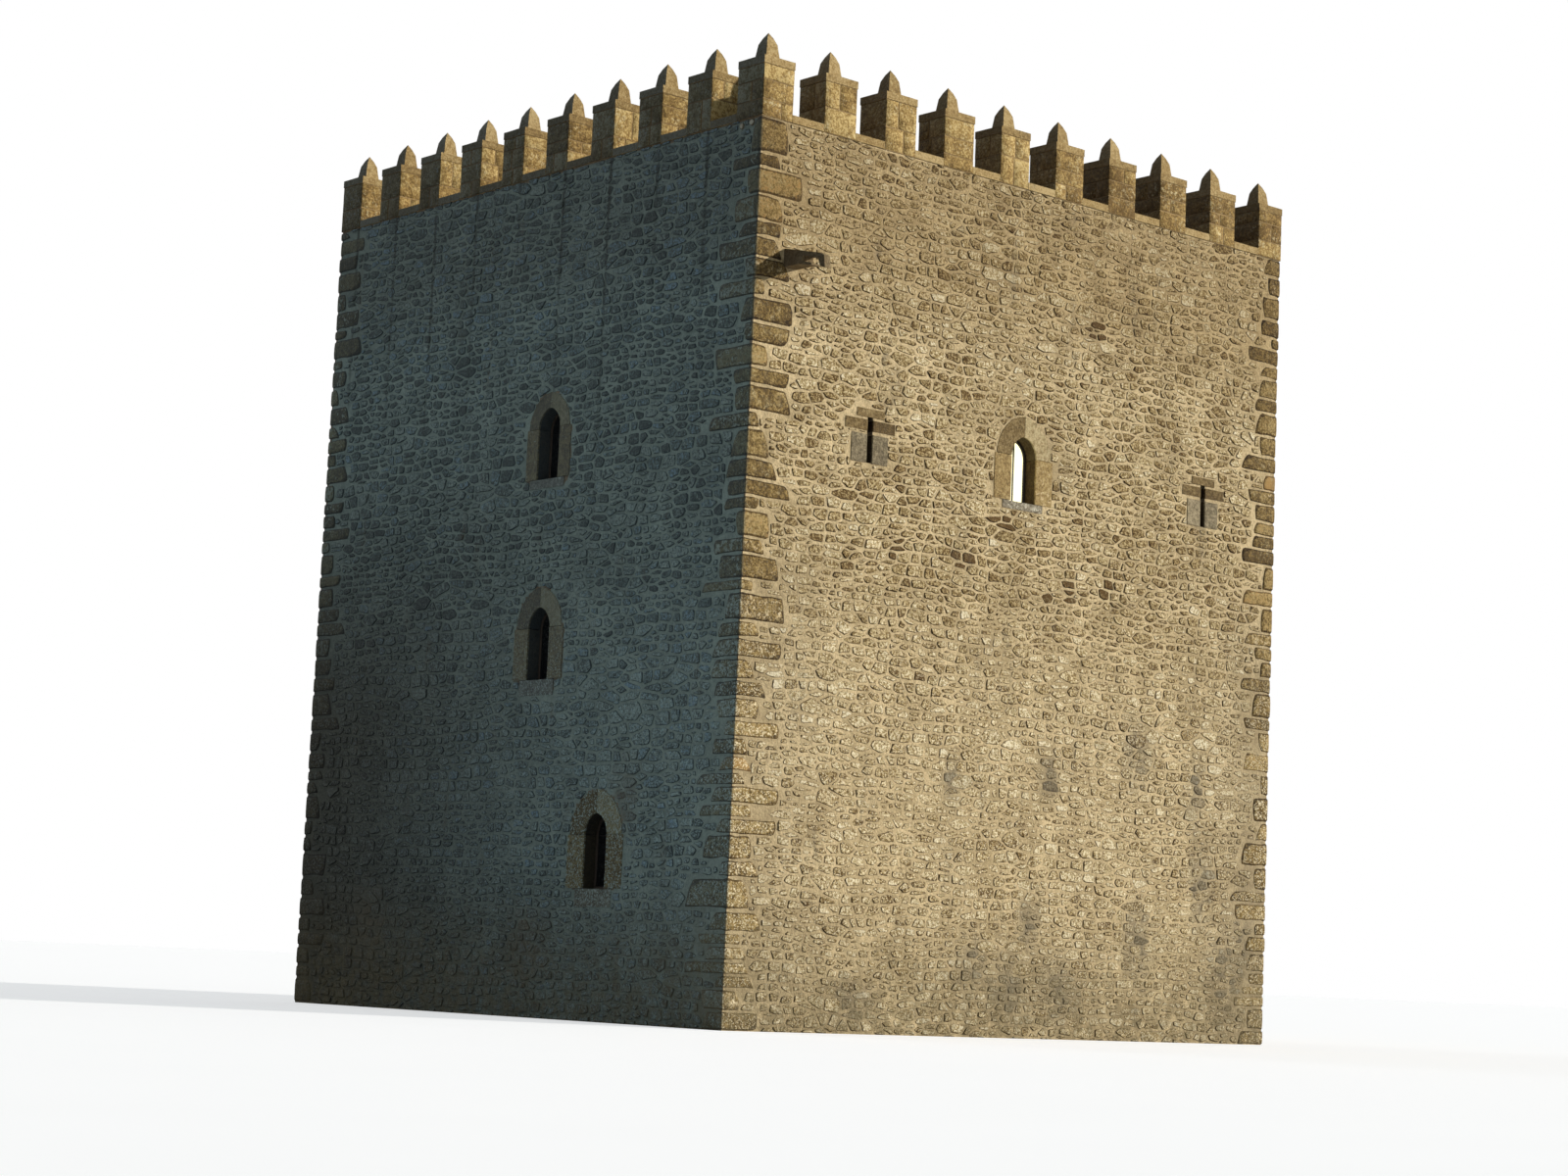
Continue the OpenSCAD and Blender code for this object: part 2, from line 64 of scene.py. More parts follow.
CHIP_HALF = (0.03, 0.06)            # half the length of such a stone
SPLITS = 0.22                       # how often two flat stones fill a course that is
SPLIT_RISE = 0.15                   # at least this high
BIG_STONES = 0.030                  # how often a stone grows over its neighbours
CELL_RUN, CELL_RISE = 0.5, 0.22     # the most that a stone reaches from its middle
RUBBLE_RELIEF = (0.012, 0.027)      # how far rubble stands out of the wall core
JOINT = (0.009, 0.028)              # half of the gap between two rubble stones
DRESSED_JOINT = (0.010, 0.024)      # the gap between rubble and a dressed stone
SHORTEST_EDGE = 0.028               # of a rubble stone's outline
MOST_RELIEF = 0.0285                # no stone stands out further, so the CAD box holds them all
SUNK = -0.002                       # how deep the feet of stones and the mortar's edges lie
MORTAR_STEP = 0.10                  # spacing of the points on the mortar skin
QUOIN_RISE = (0.16, 0.52)           # height of a corner stone
QUOIN_LONG = (0.40, 0.98)           # its length along one wall
QUOIN_SHORT = (0.18, 0.46)          # and along the other
QUOIN_LEAST = 0.14                  # a rest lower than this joins the stone below it
QUOIN_RELIEF = (0.012, 0.024)       # how far it stands out
# The points across a corner stone, as shares of its two lengths: the ends are its foot, the next
# ones its shoulder, the corner of the keep is 0 and the nose beside it rounds it off.
QUOIN_SHOULDER, QUOIN_NOSE = 0.95, 0.06
QUOIN_SHARES = (-1.0, -QUOIN_SHOULDER, -0.72, -0.48, -0.24, -QUOIN_NOSE, 0.0, QUOIN_NOSE, 0.24, 0.48,
                0.72, QUOIN_SHOULDER, 1.0)
QUOIN_LEVELS = (0.0, 0.09, 0.34, 0.66, 0.91, 1.0)
BLOCK_PROUD = 0.009                 # how far the blocks of the merlons stand out of the CAD
BLOCK_JOINT = 0.0038                # half of the gap between two blocks
GRID_RUN, GRID_RISE = 0.4, 0.25     # the grid in which a stone's neighbours are looked up
NEIGHBOURS = 26                     # how many of them its outline is cut against
SMALLEST_STONE = 0.0032             # square metres
STRETCH = 2.3 ** 2                  # how much wider than tall the stones' cells grow, squared
RIM_SHADE_END = 0.90                          # the edge value where a stone's dark rim of painted shade ends
FLAG_JOINT = 0.006                  # half of the gap between two flagstones
JAMB_LAP, STEP_LAP = 0.043, 0.004   # how much of the door leaf the jambs and the step cover
BOARD_JOINT = 0.0025                # half of the gap between two boards of the door
STRAP_HEIGHTS = (0.32, 1.30)        # of the door's hinges, above its step
NAIL_HEIGHTS = (0.10, 0.80, 1.72)   # of its rows of nails
BAR_HALF = 0.016                    # half the width of a glazing bar

# Places on a wall, in metres from its left corner and above the ground. A stain also has half
# its width and half its height, and a corner stone has only its wall and its height.
STAINS = {
    "front": [(9.08, 4.91, 0.30, 0.55), (9.21, 1.71, 0.35, 0.60), (6.91, 4.41, 0.25, 0.40),
              (11.50, 1.20, 0.50, 0.90), (7.30, 0.80, 0.45, 0.50), (2.60, 0.50, 0.50, 0.35),
              (4.64, 4.08, 0.20, 0.35), (5.23, 1.16, 0.30, 0.45), (6.56, 1.93, 0.25, 0.50),
              (10.81, 2.80, 0.30, 0.70), (10.60, 4.30, 0.20, 0.60),
              (6.10, 0.80, 0.50, 0.50), (12.00, 1.90, 0.35, 1.00)],
    "right": [(3.10, 4.60, 0.30, 0.60), (8.40, 2.10, 0.35, 0.55)],
    "back": [(2.60, 2.20, 0.35, 0.60), (8.90, 4.80, 0.30, 0.55), (6.10, 1.30, 0.30, 0.40)],
    "left": [(2.20, 1.30, 0.50, 0.70), (6.90, 1.10, 0.50, 0.60), (9.40, 3.60, 0.30, 0.60)],
}
PALE_PEBBLES = [(11.56, 14.17), (11.81, 14.19)]
ORANGE_QUOINS = [("front", 4.13), ("right", 10.02)]
BROWN_STONES = [(4.70, 7.79), (6.70, 7.50), (7.23, 7.46), (8.24, 7.68), (3.24, 7.77), (3.78, 5.71),
                (7.72, 12.10), (5.63, 8.53)]
WHITE_STONES = [(0.79, 5.40), (5.34, 8.09)]


# Small geometry in the plane of a wall face.
def blend(low, high, share):
    return low + (high - low) * share


def held(value):
    """A value held between 0 and 1."""
    return min(1.0, max(0.0, value))


def step_between(low, high, value):
    """A smooth step from 0 at low to 1 at high."""
    share = held((value - low) / (high - low))
    return share * share * (3 - 2 * share)


def fade_between(low, high, value):
    """A smooth step from 1 at low to 0 at high."""
    return 1 - step_between(low, high, value)


def clip(outline, a, b, limit):
    """The part of an outline where a * u + b * z is at most limit."""
    kept = []
    last = outline[-1]
    last_over = a * last[0] + b * last[1] - limit
    for point in outline:
        over = a * point[0] + b * point[1] - limit
        if (over <= 0) != (last_over <= 0):
            share = last_over / (last_over - over)
            kept.append((blend(last[0], point[0], share), blend(last[1], point[1], share)))
        if over <= 0:
            kept.append(point)
        last, last_over = point, over
    return kept


def area_of(outline):
    total = 0.0
    for (u0, z0), (u1, z1) in zip(outline, outline[1:] + outline[:1]):
        total += u0 * z1 - u1 * z0
    return total / 2


def middle_of(outline):
    return (sum(p[0] for p in outline) / len(outline), sum(p[1] for p in outline) / len(outline))


def extent_of(outline):
    """The lowest u, lowest z, highest u and highest z of an outline."""
    along, up = [p[0] for p in outline], [p[1] for p in outline]
    return min(along), min(up), max(along), max(up)


def sides_of(outline):
    """Each side of a counter-clockwise outline as an outward unit normal and its limit."""
    for (u0, z0), (u1, z1) in zip(outline, outline[1:] + outline[:1]):
        run = math.hypot(u1 - u0, z1 - z0)
        if run > 1e-5:
            a, b = (z1 - z0) / run, (u0 - u1) / run
            yield a, b, a * u0 + b * z0


def inside(u, z, blocker, margin):
    """Whether a place lies in a convex outline grown by a margin."""
    return all(a * u + b * z - limit < margin for a, b, limit in sides_of(blocker))


def keep_clear(outline, blocker, margin):
    """An outline cut back from a convex blocker, or an empty list where it lies inside."""
    u, z = middle_of(outline)
    a, b, limit = max(sides_of(blocker), key=lambda side: side[0] * u + side[1] * z - side[2])
    if a * u + b * z - limit <= 0:
        return []
    return clip(outline, -a, -b, -limit - margin)


def boxes_meet(one, other, margin):
    """Whether two extents overlap or come within a margin of each other."""
    return (one[0] < other[2] + margin and one[2] > other[0] - margin
            and one[1] < other[3] + margin and one[3] > other[1] - margin)


def outline_hull(points):
    hull = [points[i] for i in convex_hull_2d([Vector(p) for p in points])]
    if area_of(hull) < 0:
        hull.reverse()
    return hull


def strip_of(outline, low, high):
    """The part of an outline between two upright lines."""
    return clip(clip(outline, -1, 0, -low), 1, 0, high)


def rectangle(u0, z0, u1, z1):
    return [(u0, z0), (u1, z0), (u1, z1), (u0, z1)]


def rounded(outline, shortest, rng):
    """An outline with its corners knocked off unevenly, so that no edge is very short."""
    points = []
    for (u0, z0), (u1, z1) in zip(outline, outline[1:] + outline[:1]):
        run = math.hypot(u1 - u0, z1 - z0)
        if run < shortest:
            continue
        shares = (0.5,)
        if run > 2.2 * shortest:
            shares = (rng.uniform(0.04, 0.22), rng.uniform(0.78, 0.96))
        if run > 9 * shortest:
            shares = (shares[0], rng.uniform(0.4, 0.6), shares[1])
        for share in shares:
            wander = rng.uniform(-0.008, 0.006) if len(shares) > 1 else 0.0
            points.append((blend(u0, u1, share) + wander * (z1 - z0) / run,
                           blend(z0, z1, share) - wander * (u1 - u0) / run))
    return points


def ring_of(u, z, radius, count=9):
    """A round outline, for a pebble."""
    return [(u + radius * math.cos(2 * math.pi * k / count),
             z + radius * math.sin(2 * math.pi * k / count)) for k in range(count)]


def ripple(u, z, size, seed):
    """Smooth noise from -1 to 1 over a wall face."""
    return noise.noise(Vector((u / size, z / size, seed)))


# Meshes.
def band(first, second, count):
    """The faces between two closed rings of points, given by where each ring starts."""
    return [(first + i, first + (i + 1) % count, second + (i + 1) % count, second + i)
            for i in range(count)]


def grid_faces(columns, rows):
    """The faces of a grid of points, row by row; columns and rows count its faces."""
    for row in range(rows):
        for column in range(columns):
            k = row * (columns + 1) + column
            yield k, k + 1, k + columns + 2, k + columns + 1


def placed(name, data):
    thing = bpy.data.objects.new(name, data)
    bpy.context.scene.collection.objects.link(thing)
    return thing


def anywhere(rng):
    """A random place to read the noise from."""
    return Vector((rng.uniform(0, 50), rng.uniform(0, 50), rng.uniform(0, 50)))


# What each point of a piece carries for its material, and the usual value: the stone's tone
# from dark brown to white, its hue from grey to ochre, how far it lies inside the stone's
# edge, which places its rim of painted shade, how stained, how damp and deep in painted shade, and how
# much covered with old mortar it is.
PROPERTIES = {"tone": 0.5, "hue": 0.5, "edge": 1.0, "stain": 0.0, "damp": 0.0, "cover": 0.0}


class Shell:
    """The points and faces of one piece, with a value of each property at each point."""

    def __init__(self):
        self.points = []
        self.faces = []
        self.values = {label: [] for label in PROPERTIES}

    def add(self, points, faces, **values):
        """Each property is one value or a list with one for each point."""
        start = len(self.points)
        self.points += points
        self.faces += [tuple(start + i for i in face) for face in faces]
        for label, usual in PROPERTIES.items():
            value = values.get(label, usual)
            self.values[label] += value if isinstance(value, list) else [value] * len(points)

    def piece(self, name, material, slot, sharp=None):
        mesh = bpy.data.meshes.new(name)
        mesh.from_pydata(self.points, [], self.faces)
        for label, values in self.values.items():
            mesh.attributes.new(label, "FLOAT", "POINT").data.foreach_set("value", values)
        mesh.shade_smooth()
        if sharp is not None:
            mesh.set_sharp_from_angle(angle=math.radians(sharp))
        mesh.materials.append(material)
        mesh.validate()
        thing = placed(name, mesh)
        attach(thing, "root")
        return thing


def damp_and_shade_of(outward):
    """How far a wall face looks away from the sun, from 0, sunlit and dry, to 1, always in shade and
    damp; it sets how much painted shade the face's colours get.
    """
    return held(max(0.0, -outward.x) + 0.7 * max(0.0, outward.y))


class Face:
    """A wall face seen from outside: u runs right, z up, and out towards the viewer."""

    def __init__(self, name, start, along, length, low, high):
        self.name = name
        self.start = Vector(start)
        self.along = Vector(along)
        self.outward = Vector((along[1], -along[0], 0))
        self.length = length
        self.low = low
        self.high = high
        self.blockers = []              # outlines that the rubble keeps clear of
        self.open_blockers = []         # those of them that the mortar keeps clear of too
        # How far this face turns from the sun: it sets its painted shade and damp.
        self.damp = damp_and_shade_of(self.outward)
        self.coarseness = 1.3 if low > 0 else 1.0       # the parapet's inner stones are bigger

    def place(self, u, out, z):
        return self.start + self.along * u + self.outward * out + Vector((0, 0, z))

    def spot(self, point):
        """A point in space as (u, out, z) on this face."""
        apart = Vector(point) - self.start
        return apart.dot(self.along), apart.dot(self.outward), point[2]

    def view(self, solid):
        """A solid's outline on this face, and where its back and its front lie."""
        spots = [self.spot(v.co) for v in solid.verts]
        outs = [spot[1] for spot in spots]
        return outline_hull([(spot[0], spot[2]) for spot in spots]), min(outs), max(outs)


def solids_of(node):
    """The separate solids of a CAD node, each as a bmesh with its doubles joined."""
    whole = bmesh.new()
    whole.from_mesh(frame["nodes"][node].data)
    bmesh.ops.remove_doubles(whole, verts=whole.verts, dist=1e-4)
    bmesh.ops.dissolve_limit(whole, angle_limit=math.radians(1), verts=whole.verts, edges=whole.edges)
    whole.verts.index_update()
    seen = set()
    solids = []
    for vert in whole.verts:
        if vert in seen:
            continue
        group, front = [], [vert]
        seen.add(vert)
        while front:
            here = front.pop()
            group.append(here)
            for edge in here.link_edges:
                other = edge.other_vert(here)
                if other not in seen:
                    seen.add(other)
                    front.append(other)
        solid = bmesh.new()
        copies = {v: solid.verts.new(v.co) for v in group}
        for face in dict.fromkeys(f for v in group for f in v.link_faces):
            solid.faces.new([copies[v] for v in face.verts])
        solids.append(solid)
    whole.free()
    return solids


def corners_of(solid):
    low = Vector([min(v.co[i] for v in solid.verts) for i in range(3)])
    high = Vector([max(v.co[i] for v in solid.verts) for i in range(3)])
    return low, high


def faces_round(prefix, low, high, foot, turn):
    """The four faces of a square, seen from outside it with turn 1, from inside with turn -1."""
    corners = ((low.x, low.y), (high.x, low.y), (high.x, high.y), (low.x, high.y))
    spans = (high.x - low.x, high.y - low.y)
    faces = {}
    for k, (side, x, y) in enumerate((("front", 1, 0), ("right", 0, 1), ("back", -1, 0),
                                      ("left", 0, -1))):
        start = corners[k if turn > 0 else (k + 1) % 4]
        faces[side] = Face(prefix + side, (*start, 0), (x * turn, y * turn, 0), spans[k % 2], foot,
                           WALL_TOP)
    return faces


# The four outer faces and the four inner faces of the parapet.
front_low, front_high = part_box("front_wall")
terrace_low, terrace_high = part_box("terrace")
WIDTH = front_high.x - front_low.x
FACES = faces_round("", front_low, Vector((front_high.x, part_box("back_wall")[1].y)), 0, 1)
INNER_FACES = faces_round("inner_", terrace_low, terrace_high, TERRACE_TOP, -1)
DRESSED = ["lancet_left_arch_stones", "lancet_right_arch_stones", "lancet_jambs", "lancet_sills",
           "lancet_frames", "slit_side_stones", "slit_shoulder_stones", "slit_lintels",
           "door_arch", "door_jambs", "door_threshold", "door_leaf", "water_spout"]


def wall_of(middle):
    """The outer face that a stone is set in."""
    return min(FACES.values(), key=lambda face: abs(face.spot(middle)[1]))


def outer_damp_and_shade(low, high):
    """How damp and how deep in painted shade the side of the keep is on which a stone stands, the most
    at a corner.
    """
    return max([face.damp for face in FACES.values()
                if min(abs(face.spot(low)[1]), abs(face.spot(high)[1])) < 0.4] + [0.0])


def find_blockers():
    """Gives each face the outlines of the dressed stones and openings set in it."""
    nearest, deepest = -0.36, -0.65     # a stone set in a face comes this near and no deeper
    for node in DRESSED:
        for solid in solids_of(node):
            for face in FACES.values():
                outline, back, front = face.view(solid)
                if front > nearest and back > deepest:
                    face.blockers.append(outline)
            solid.free()
    for opening in frame["record"]["physics"]["openings"]:
        if opening["name"].endswith("_slit"):
            low, high = opening["box_m"]
            face = FACES[opening["name"].split("_")[0]]
            u0, u1 = sorted((face.spot(low)[0], face.spot(high)[0]))
            face.blockers.append(rectangle(u0 - 0.005, low[2] - 0.005, u1 + 0.005, high[2] + 0.005))
    for face in FACES.values():
        face.open_blockers = list(face.blockers)


def lay_quoins(rng):
    """The courses of corner stones, each as its corner, foot, top and two lengths."""
    quoins = []
    names = list(FACES)
    for corner, name in enumerate(names):
        face, before = FACES[name], FACES[names[corner - 1]]
        z = 0.0
        long_here = corner % 2 == 0
        while z < WALL_TOP - QUOIN_LEAST:
            rise = min(rng.triangular(*QUOIN_RISE, 0.27), WALL_TOP - z)
            if WALL_TOP - z - rise < QUOIN_LEAST:
                rise = WALL_TOP - z
            lengths = [rng.uniform(*QUOIN_LONG), rng.uniform(*QUOIN_SHORT)]
            if rng.random() < 0.22:
                lengths[1] = rng.uniform(0.42, 0.62)
            if not long_here:
                lengths.reverse()
            if name == "front" and z + rise > PALE_PEBBLES[0][1] - 0.06:
                lengths[1] = 0.21
            if any(name == side and z <= height < z + rise for side, height in ORANGE_QUOINS):
                lengths = [0.32, 0.30]
            quoins.append((face, before, z, z + rise, lengths[0], lengths[1]))
            face.blockers.append(rectangle(-0.1, z, lengths[0], z + rise))
            before.blockers.append(rectangle(before.length - lengths[1], z,
                                             before.length + 0.1, z + rise))
            long_here = not long_here if rng.random() < 0.9 else long_here
            z += rise
    return quoins


# Rubble.
def course_sway(u, z):
    """How far a rough course rises or dips here."""
    return 0.11 * ripple(u, z, 2.6, 3.0) + 0.030 * ripple(u, z, 0.8, 8.0)


def rubble_seeds(face, rng):
    """Rough courses of stones, as (u, z, half length)."""
    seeds = []
    z = face.low - 0.15
    while z < face.high + 0.15:
        rise = rng.uniform(*COURSE_RISE) * face.coarseness
        loose = 0.018 + 0.008 * step_between(5.5, 8.5, z)
        u = -rng.uniform(0.0, 0.3)
        while u < face.length + 0.1:
            run = (0.085 + 0.5 * rise) * rng.triangular(0.8, 2.4, 1.2)
            run = min(STONE_RUN[1], max(STONE_RUN[0], run * face.coarseness))
            middle = (u + run / 2, z + rise / 2)
            if rng.random() < CHIPS:
                seeds.append((u, z + rng.choice((0, rise)), rng.uniform(*CHIP_HALF)))
            if rise > SPLIT_RISE and rng.random() < SPLITS:
                share = rng.uniform(0.30, 0.70)
                shift = rng.uniform(-0.05, 0.05)
                seeds.append((middle[0], middle[1] - rise * (1 - share) / 2, run / 2))
                seeds.append((middle[0] + shift, middle[1] + rise * share / 2, run / 2))
            else:
                seeds.append((middle[0], middle[1] + rng.uniform(-loose, loose), run / 2))
            u += run
        z += rise
    return with_big_stones(seeds, rng)


def with_big_stones(seeds, rng):
    """The same stones, with here and there a big one in the place of several."""
    big = [(u, z, rng.uniform(0.20, 0.30), rng.uniform(0.11, 0.15))
           for u, z, _ in seeds if rng.random() < BIG_STONES]
    kept = [seed for seed in seeds
            if not any(((seed[0] - b[0]) / b[2]) ** 2 + ((seed[1] - b[1]) / b[3]) ** 2 < 1.2
                       for b in big if abs(seed[0] - b[0]) < 0.4)]
    for number, one in enumerate(big):
        if all(math.hypot(one[0] - b[0], (one[1] - b[1]) * 2) > 0.62 for b in big[:number]):
            kept.append(one[:3])
    return kept


def grid_square(u, z):
    """The square of the look-up grid that a place lies in."""
    return int(u // GRID_RUN), int(z // GRID_RISE)


def cell_of(seeds, grid, index, rng):
    """The outline that its nearest neighbours leave a stone, less half a joint all round."""
    u, z, half_run = seeds[index]
    column, row = grid_square(u, z)
    near = [k for i in range(column - 2, column + 3) for j in range(row - 2, row + 3)
            for k in grid.get((i, j), ())]
    near.sort(key=lambda k: (seeds[k][0] - u) ** 2 + STRETCH * (seeds[k][1] - z) ** 2)
    outline = rectangle(u - CELL_RUN, z - CELL_RISE, u + CELL_RUN, z + CELL_RISE)
    for other in near[:NEIGHBOURS]:
        if other == index:
            continue
        u2, z2, half_run2 = seeds[other]
        a, b = u2 - u, STRETCH * (z2 - z)
        limit = (u2 * u2 - u * u + STRETCH * (z2 * z2 - z * z)
                 + 0.6 * (half_run ** 2 - half_run2 ** 2)) / 2
        outline = clip(outline, a, b, limit - rng.uniform(*JOINT) * math.hypot(a, b))
        if len(outline) < 3:
            break
    return outline


def rubble_outlines(face, rng):
    """The outline of every rubble stone of a face, with its seed."""
    seeds = rubble_seeds(face, rng)
    grid = {}
    for index, (u, z, _) in enumerate(seeds):
        grid.setdefault(grid_square(u, z), []).append(index)
    boxes = [(blocker, extent_of(blocker)) for blocker in face.blockers]
    reach = (CELL_RUN + 0.05, CELL_RISE + 0.03)
    limits = ((-1, 0, -0.01), (1, 0, face.length - 0.01),
              (0, -1, -face.low - 0.004), (0, 1, face.high - 0.004))
    outlines = []
    for index, (u, z, _) in enumerate(seeds):
        outline = [(p[0], p[1] + course_sway(*p)) for p in cell_of(seeds, grid, index, rng)]
        z += course_sway(u, z)
        for limit_side in limits:
            if len(outline) >= 3:
                outline = clip(outline, *limit_side)
        if len(outline) < 3:
            continue
        for blocker, box in boxes:
            close = (box[0] - reach[0] < u < box[2] + reach[0]
                     and box[1] - reach[1] < z < box[3] + reach[1])
            if close and outline and boxes_meet(extent_of(outline), box, 0.012):
                outline = keep_clear(outline, blocker, rng.uniform(*DRESSED_JOINT))
        if len(outline) >= 3 and area_of(outline) > SMALLEST_STONE:
            outlines.append(((u, z), outline))
    return outlines


def mortar_cover(face, u, z):
    """How deep the mortar lies over the wall core, as a share from 0 to 1."""
    cover = 0.46 + 0.45 * ripple(u, z, 2.2, 21.0) + 0.34 * ripple(u, z, 0.62, 5.0)
    # Washed out of a broad band at the height of the upper windows, and thick near the ground.
    cover -= 0.30 * (step_between(6.6, 8.2, z) * fade_between(11.2, 13.2, z))
    cover += 0.10 * fade_between(3.0, 6.5, z)
    if face.name == "front":
        cover += 0.25 * step_between(6.0, 10.5, u) * step_between(9.8, 12.0, z)
    return held(cover)


def mortar_depth(face, u, z):
    depth = blend(0.001, 0.0105, mortar_cover(face, u, z))
    return depth + 0.0040 * ripple(u, z, 0.19, 40.0)


def stain_at(face, u, z):
    """How dark a grey stain lies on the wall here, from 0 to 1."""
    deepest = 0.0
    if face.name == "front":        # both ends of the lower half are stained all over
        deepest = (0.32 + 0.14 * fade_between(2.0, 5.0, z)) * step_between(10.4, 12.2, u)
        deepest = max(deepest, 0.22 * fade_between(0.8, 2.6, u))
        deepest *= fade_between(6.5, 9.0, z)
    for u0, z0, half_u, half_z in STAINS.get(face.name, ()):
        far = math.hypot((u - u0) / half_u, (z - z0) / half_z)
        if far < 1.6:
            ragged = 0.55 + 0.9 * ripple(u, z, 0.16, 71.0)
            deepest = max(deepest, (1 - far / 1.6) * 1.5 * ragged)
    return held(deepest)


def stone_tone(face, u, z, rng):
    """A stone's tone from 0, dark brown, to 1, white, and its hue from 0, grey, to 1, ochre."""
    tone = rng.triangular(0.16, 0.86, 0.50) + 0.10 * ripple(u, z, 1.6, 12.0)
    # Darker in the washed band, and a little darker near the ground.
    tone -= 0.11 * step_between(6.2, 7.4, z) * fade_between(10.4, 12.0, z)
    tone -= 0.02 * fade_between(4.5, 7.0, z)
    # On a face turned from the sun the tones spread and sink a little: painted shade.
    tone += face.damp * (0.25 * (tone - 0.5) - 0.04)
    hue = rng.triangular(0.0, 1.0, 0.50)
    chance = rng.random()           # a few stones are nearly black or nearly white
    if chance < 0.012 + 0.025 * face.damp:
        tone, hue = rng.uniform(0.06, 0.20), 0.9
    elif chance < 0.022:
        tone, hue = rng.uniform(0.84, 0.95), 0.3
    if face.name == "front":
        for spot in BROWN_STONES:
            if math.hypot(u - spot[0], z - spot[1]) < 0.18:
                tone, hue = -0.30, 0.95
        for spot in WHITE_STONES:
            if math.hypot(u - spot[0], z - spot[1]) < 0.13:
                tone, hue = 1.0, 0.4
    return tone, hue


def cover_of(face, u, z, tone, rng):
    """How much of a stone old mortar and limewash hide, from 0 to 1."""
    # More near the ground and under the parapet, and most on a damp wall.
    cover = 0.16 + 0.07 * fade_between(4.0, 7.5, z) + 0.10 * step_between(9.8, 11.5, z)
    cover += face.damp * (0.30 - 0.30 * step_between(8.0, 12.5, z))
    cover += 0.36 * ripple(u, z, 1.7, 33.0) + rng.uniform(-0.28, 0.28)
    cover += face.damp * (0.10 + rng.uniform(-0.35, 0.30))
    return held(cover) * step_between(0.0, 0.12, tone)


def add_stone(shell, face, outline, relief, rng, tone, hue, cover, damp):
    """One rubble stone: a sunk foot, a crisp shoulder and a nearly flat face."""
    outline = rounded(outline, SHORTEST_EDGE, rng)
    if len(outline) < 4:
        return
    u0, z0 = middle_of(outline)
    tilt_u, tilt_z = rng.uniform(-0.04, 0.04), rng.uniform(-0.06, 0.06)
    inset = rng.uniform(0.006, 0.015)
    foot, shoulder, lips = [], [], []
    for u, z in outline:
        reach = math.hypot(u - u0, z - z0)
        # The lip sets how wide the rim of painted shade runs, wider on the lower edges where shade falls
        # under the stone.
        lip = rng.uniform(0.004, 0.013) + 0.007 * max(0.0, (z0 - z) / reach)
        lip = min(0.4, lip / reach)
        lips.append((RIM_SHADE_END - lip) / (1 - lip))
        share = max(0.40, 1 - inset * rng.uniform(0.6, 1.5) / reach)
        lean = tilt_u * (u - u0) + tilt_z * (z - z0)
        height = min(MOST_RELIEF, max(0.005, relief * rng.uniform(0.72, 1.0) + lean))
        z = min(face.high - 0.002, max(face.low + 0.002, z))
        foot.append(face.place(u, SUNK, z))
        shoulder.append(face.place(blend(u0, u, share), height, blend(z0, z, share)))
    crown = face.place(u0 + rng.uniform(-0.02, 0.02),
                       min(MOST_RELIEF, relief * rng.uniform(0.9, 1.12)),
                       max(face.low + 0.004, z0 + rng.uniform(-0.012, 0.012)))
    count = len(foot)
    faces = []
    for side in band(0, count, count):
        faces += [side, (side[3], side[2], 2 * count)]
    shell.add(foot + shoulder + [crown], faces, tone=tone, hue=hue, cover=cover, damp=damp,
              edge=[0.0] * count + lips + [1.0], stain=stain_at(face, u0, z0))


def build_rubble(face, rng, name, material):
    shell = Shell()
    if face.name == "left":
        for u, z in PALE_PEBBLES:
            add_stone(shell, face, ring_of(u, z, 0.064), 0.027, rng, 1.0, 0.0, 0.0, 0.46)
    for (u, z), outline in rubble_outlines(face, rng):
        relief = rng.triangular(*RUBBLE_RELIEF, 0.016)
        tone, hue = stone_tone(face, u, z, rng)
        add_stone(shell, face, outline, relief, rng, tone, hue, cover_of(face, u, z, tone, rng),
                  face.damp)
    shell.piece(name, material, "rubble_masonry", sharp=36)


def build_mortar(face, name, material):
    """The mortar skin between the stones, open where the dressed stones are."""
    rise = face.high - face.low
    columns, rows = round(face.length / MORTAR_STEP), round(rise / MORTAR_STEP)
    cells = {}
    for blocker in face.open_blockers:
        low_u, low_z, high_u, high_z = extent_of(blocker)
        for i in range(int(low_u / face.length * columns) - 1,
                       int(high_u / face.length * columns) + 3):
            for j in range(int((low_z - face.low) / rise * rows) - 1,
                           int((high_z - face.low) / rise * rows) + 3):
                cells.setdefault((i, j), []).append(blocker)
    shell = Shell()
    points, covered, stains = [], [], []
    for j in range(rows + 1):
        z = face.low + rise * j / rows
        for i in range(columns + 1):
            u = face.length * i / columns
            blocked = any(inside(u, z, blocker, 0.004) for blocker in cells.get((i, j), ()))
            covered.append(blocked)
            at_edge = i in (0, columns) or j in (0, rows)
            depth = SUNK if at_edge or blocked else max(0.001, mortar_depth(face, u, z))
            points.append(face.place(u, depth, z))
            stains.append(stain_at(face, u, z))
    faces = [ring for ring in grid_faces(columns, rows) if sum(covered[k] for k in ring) < 3]
    shell.add(points, faces, stain=stains, damp=face.damp)
    shell.piece(name, material, "rubble_masonry")


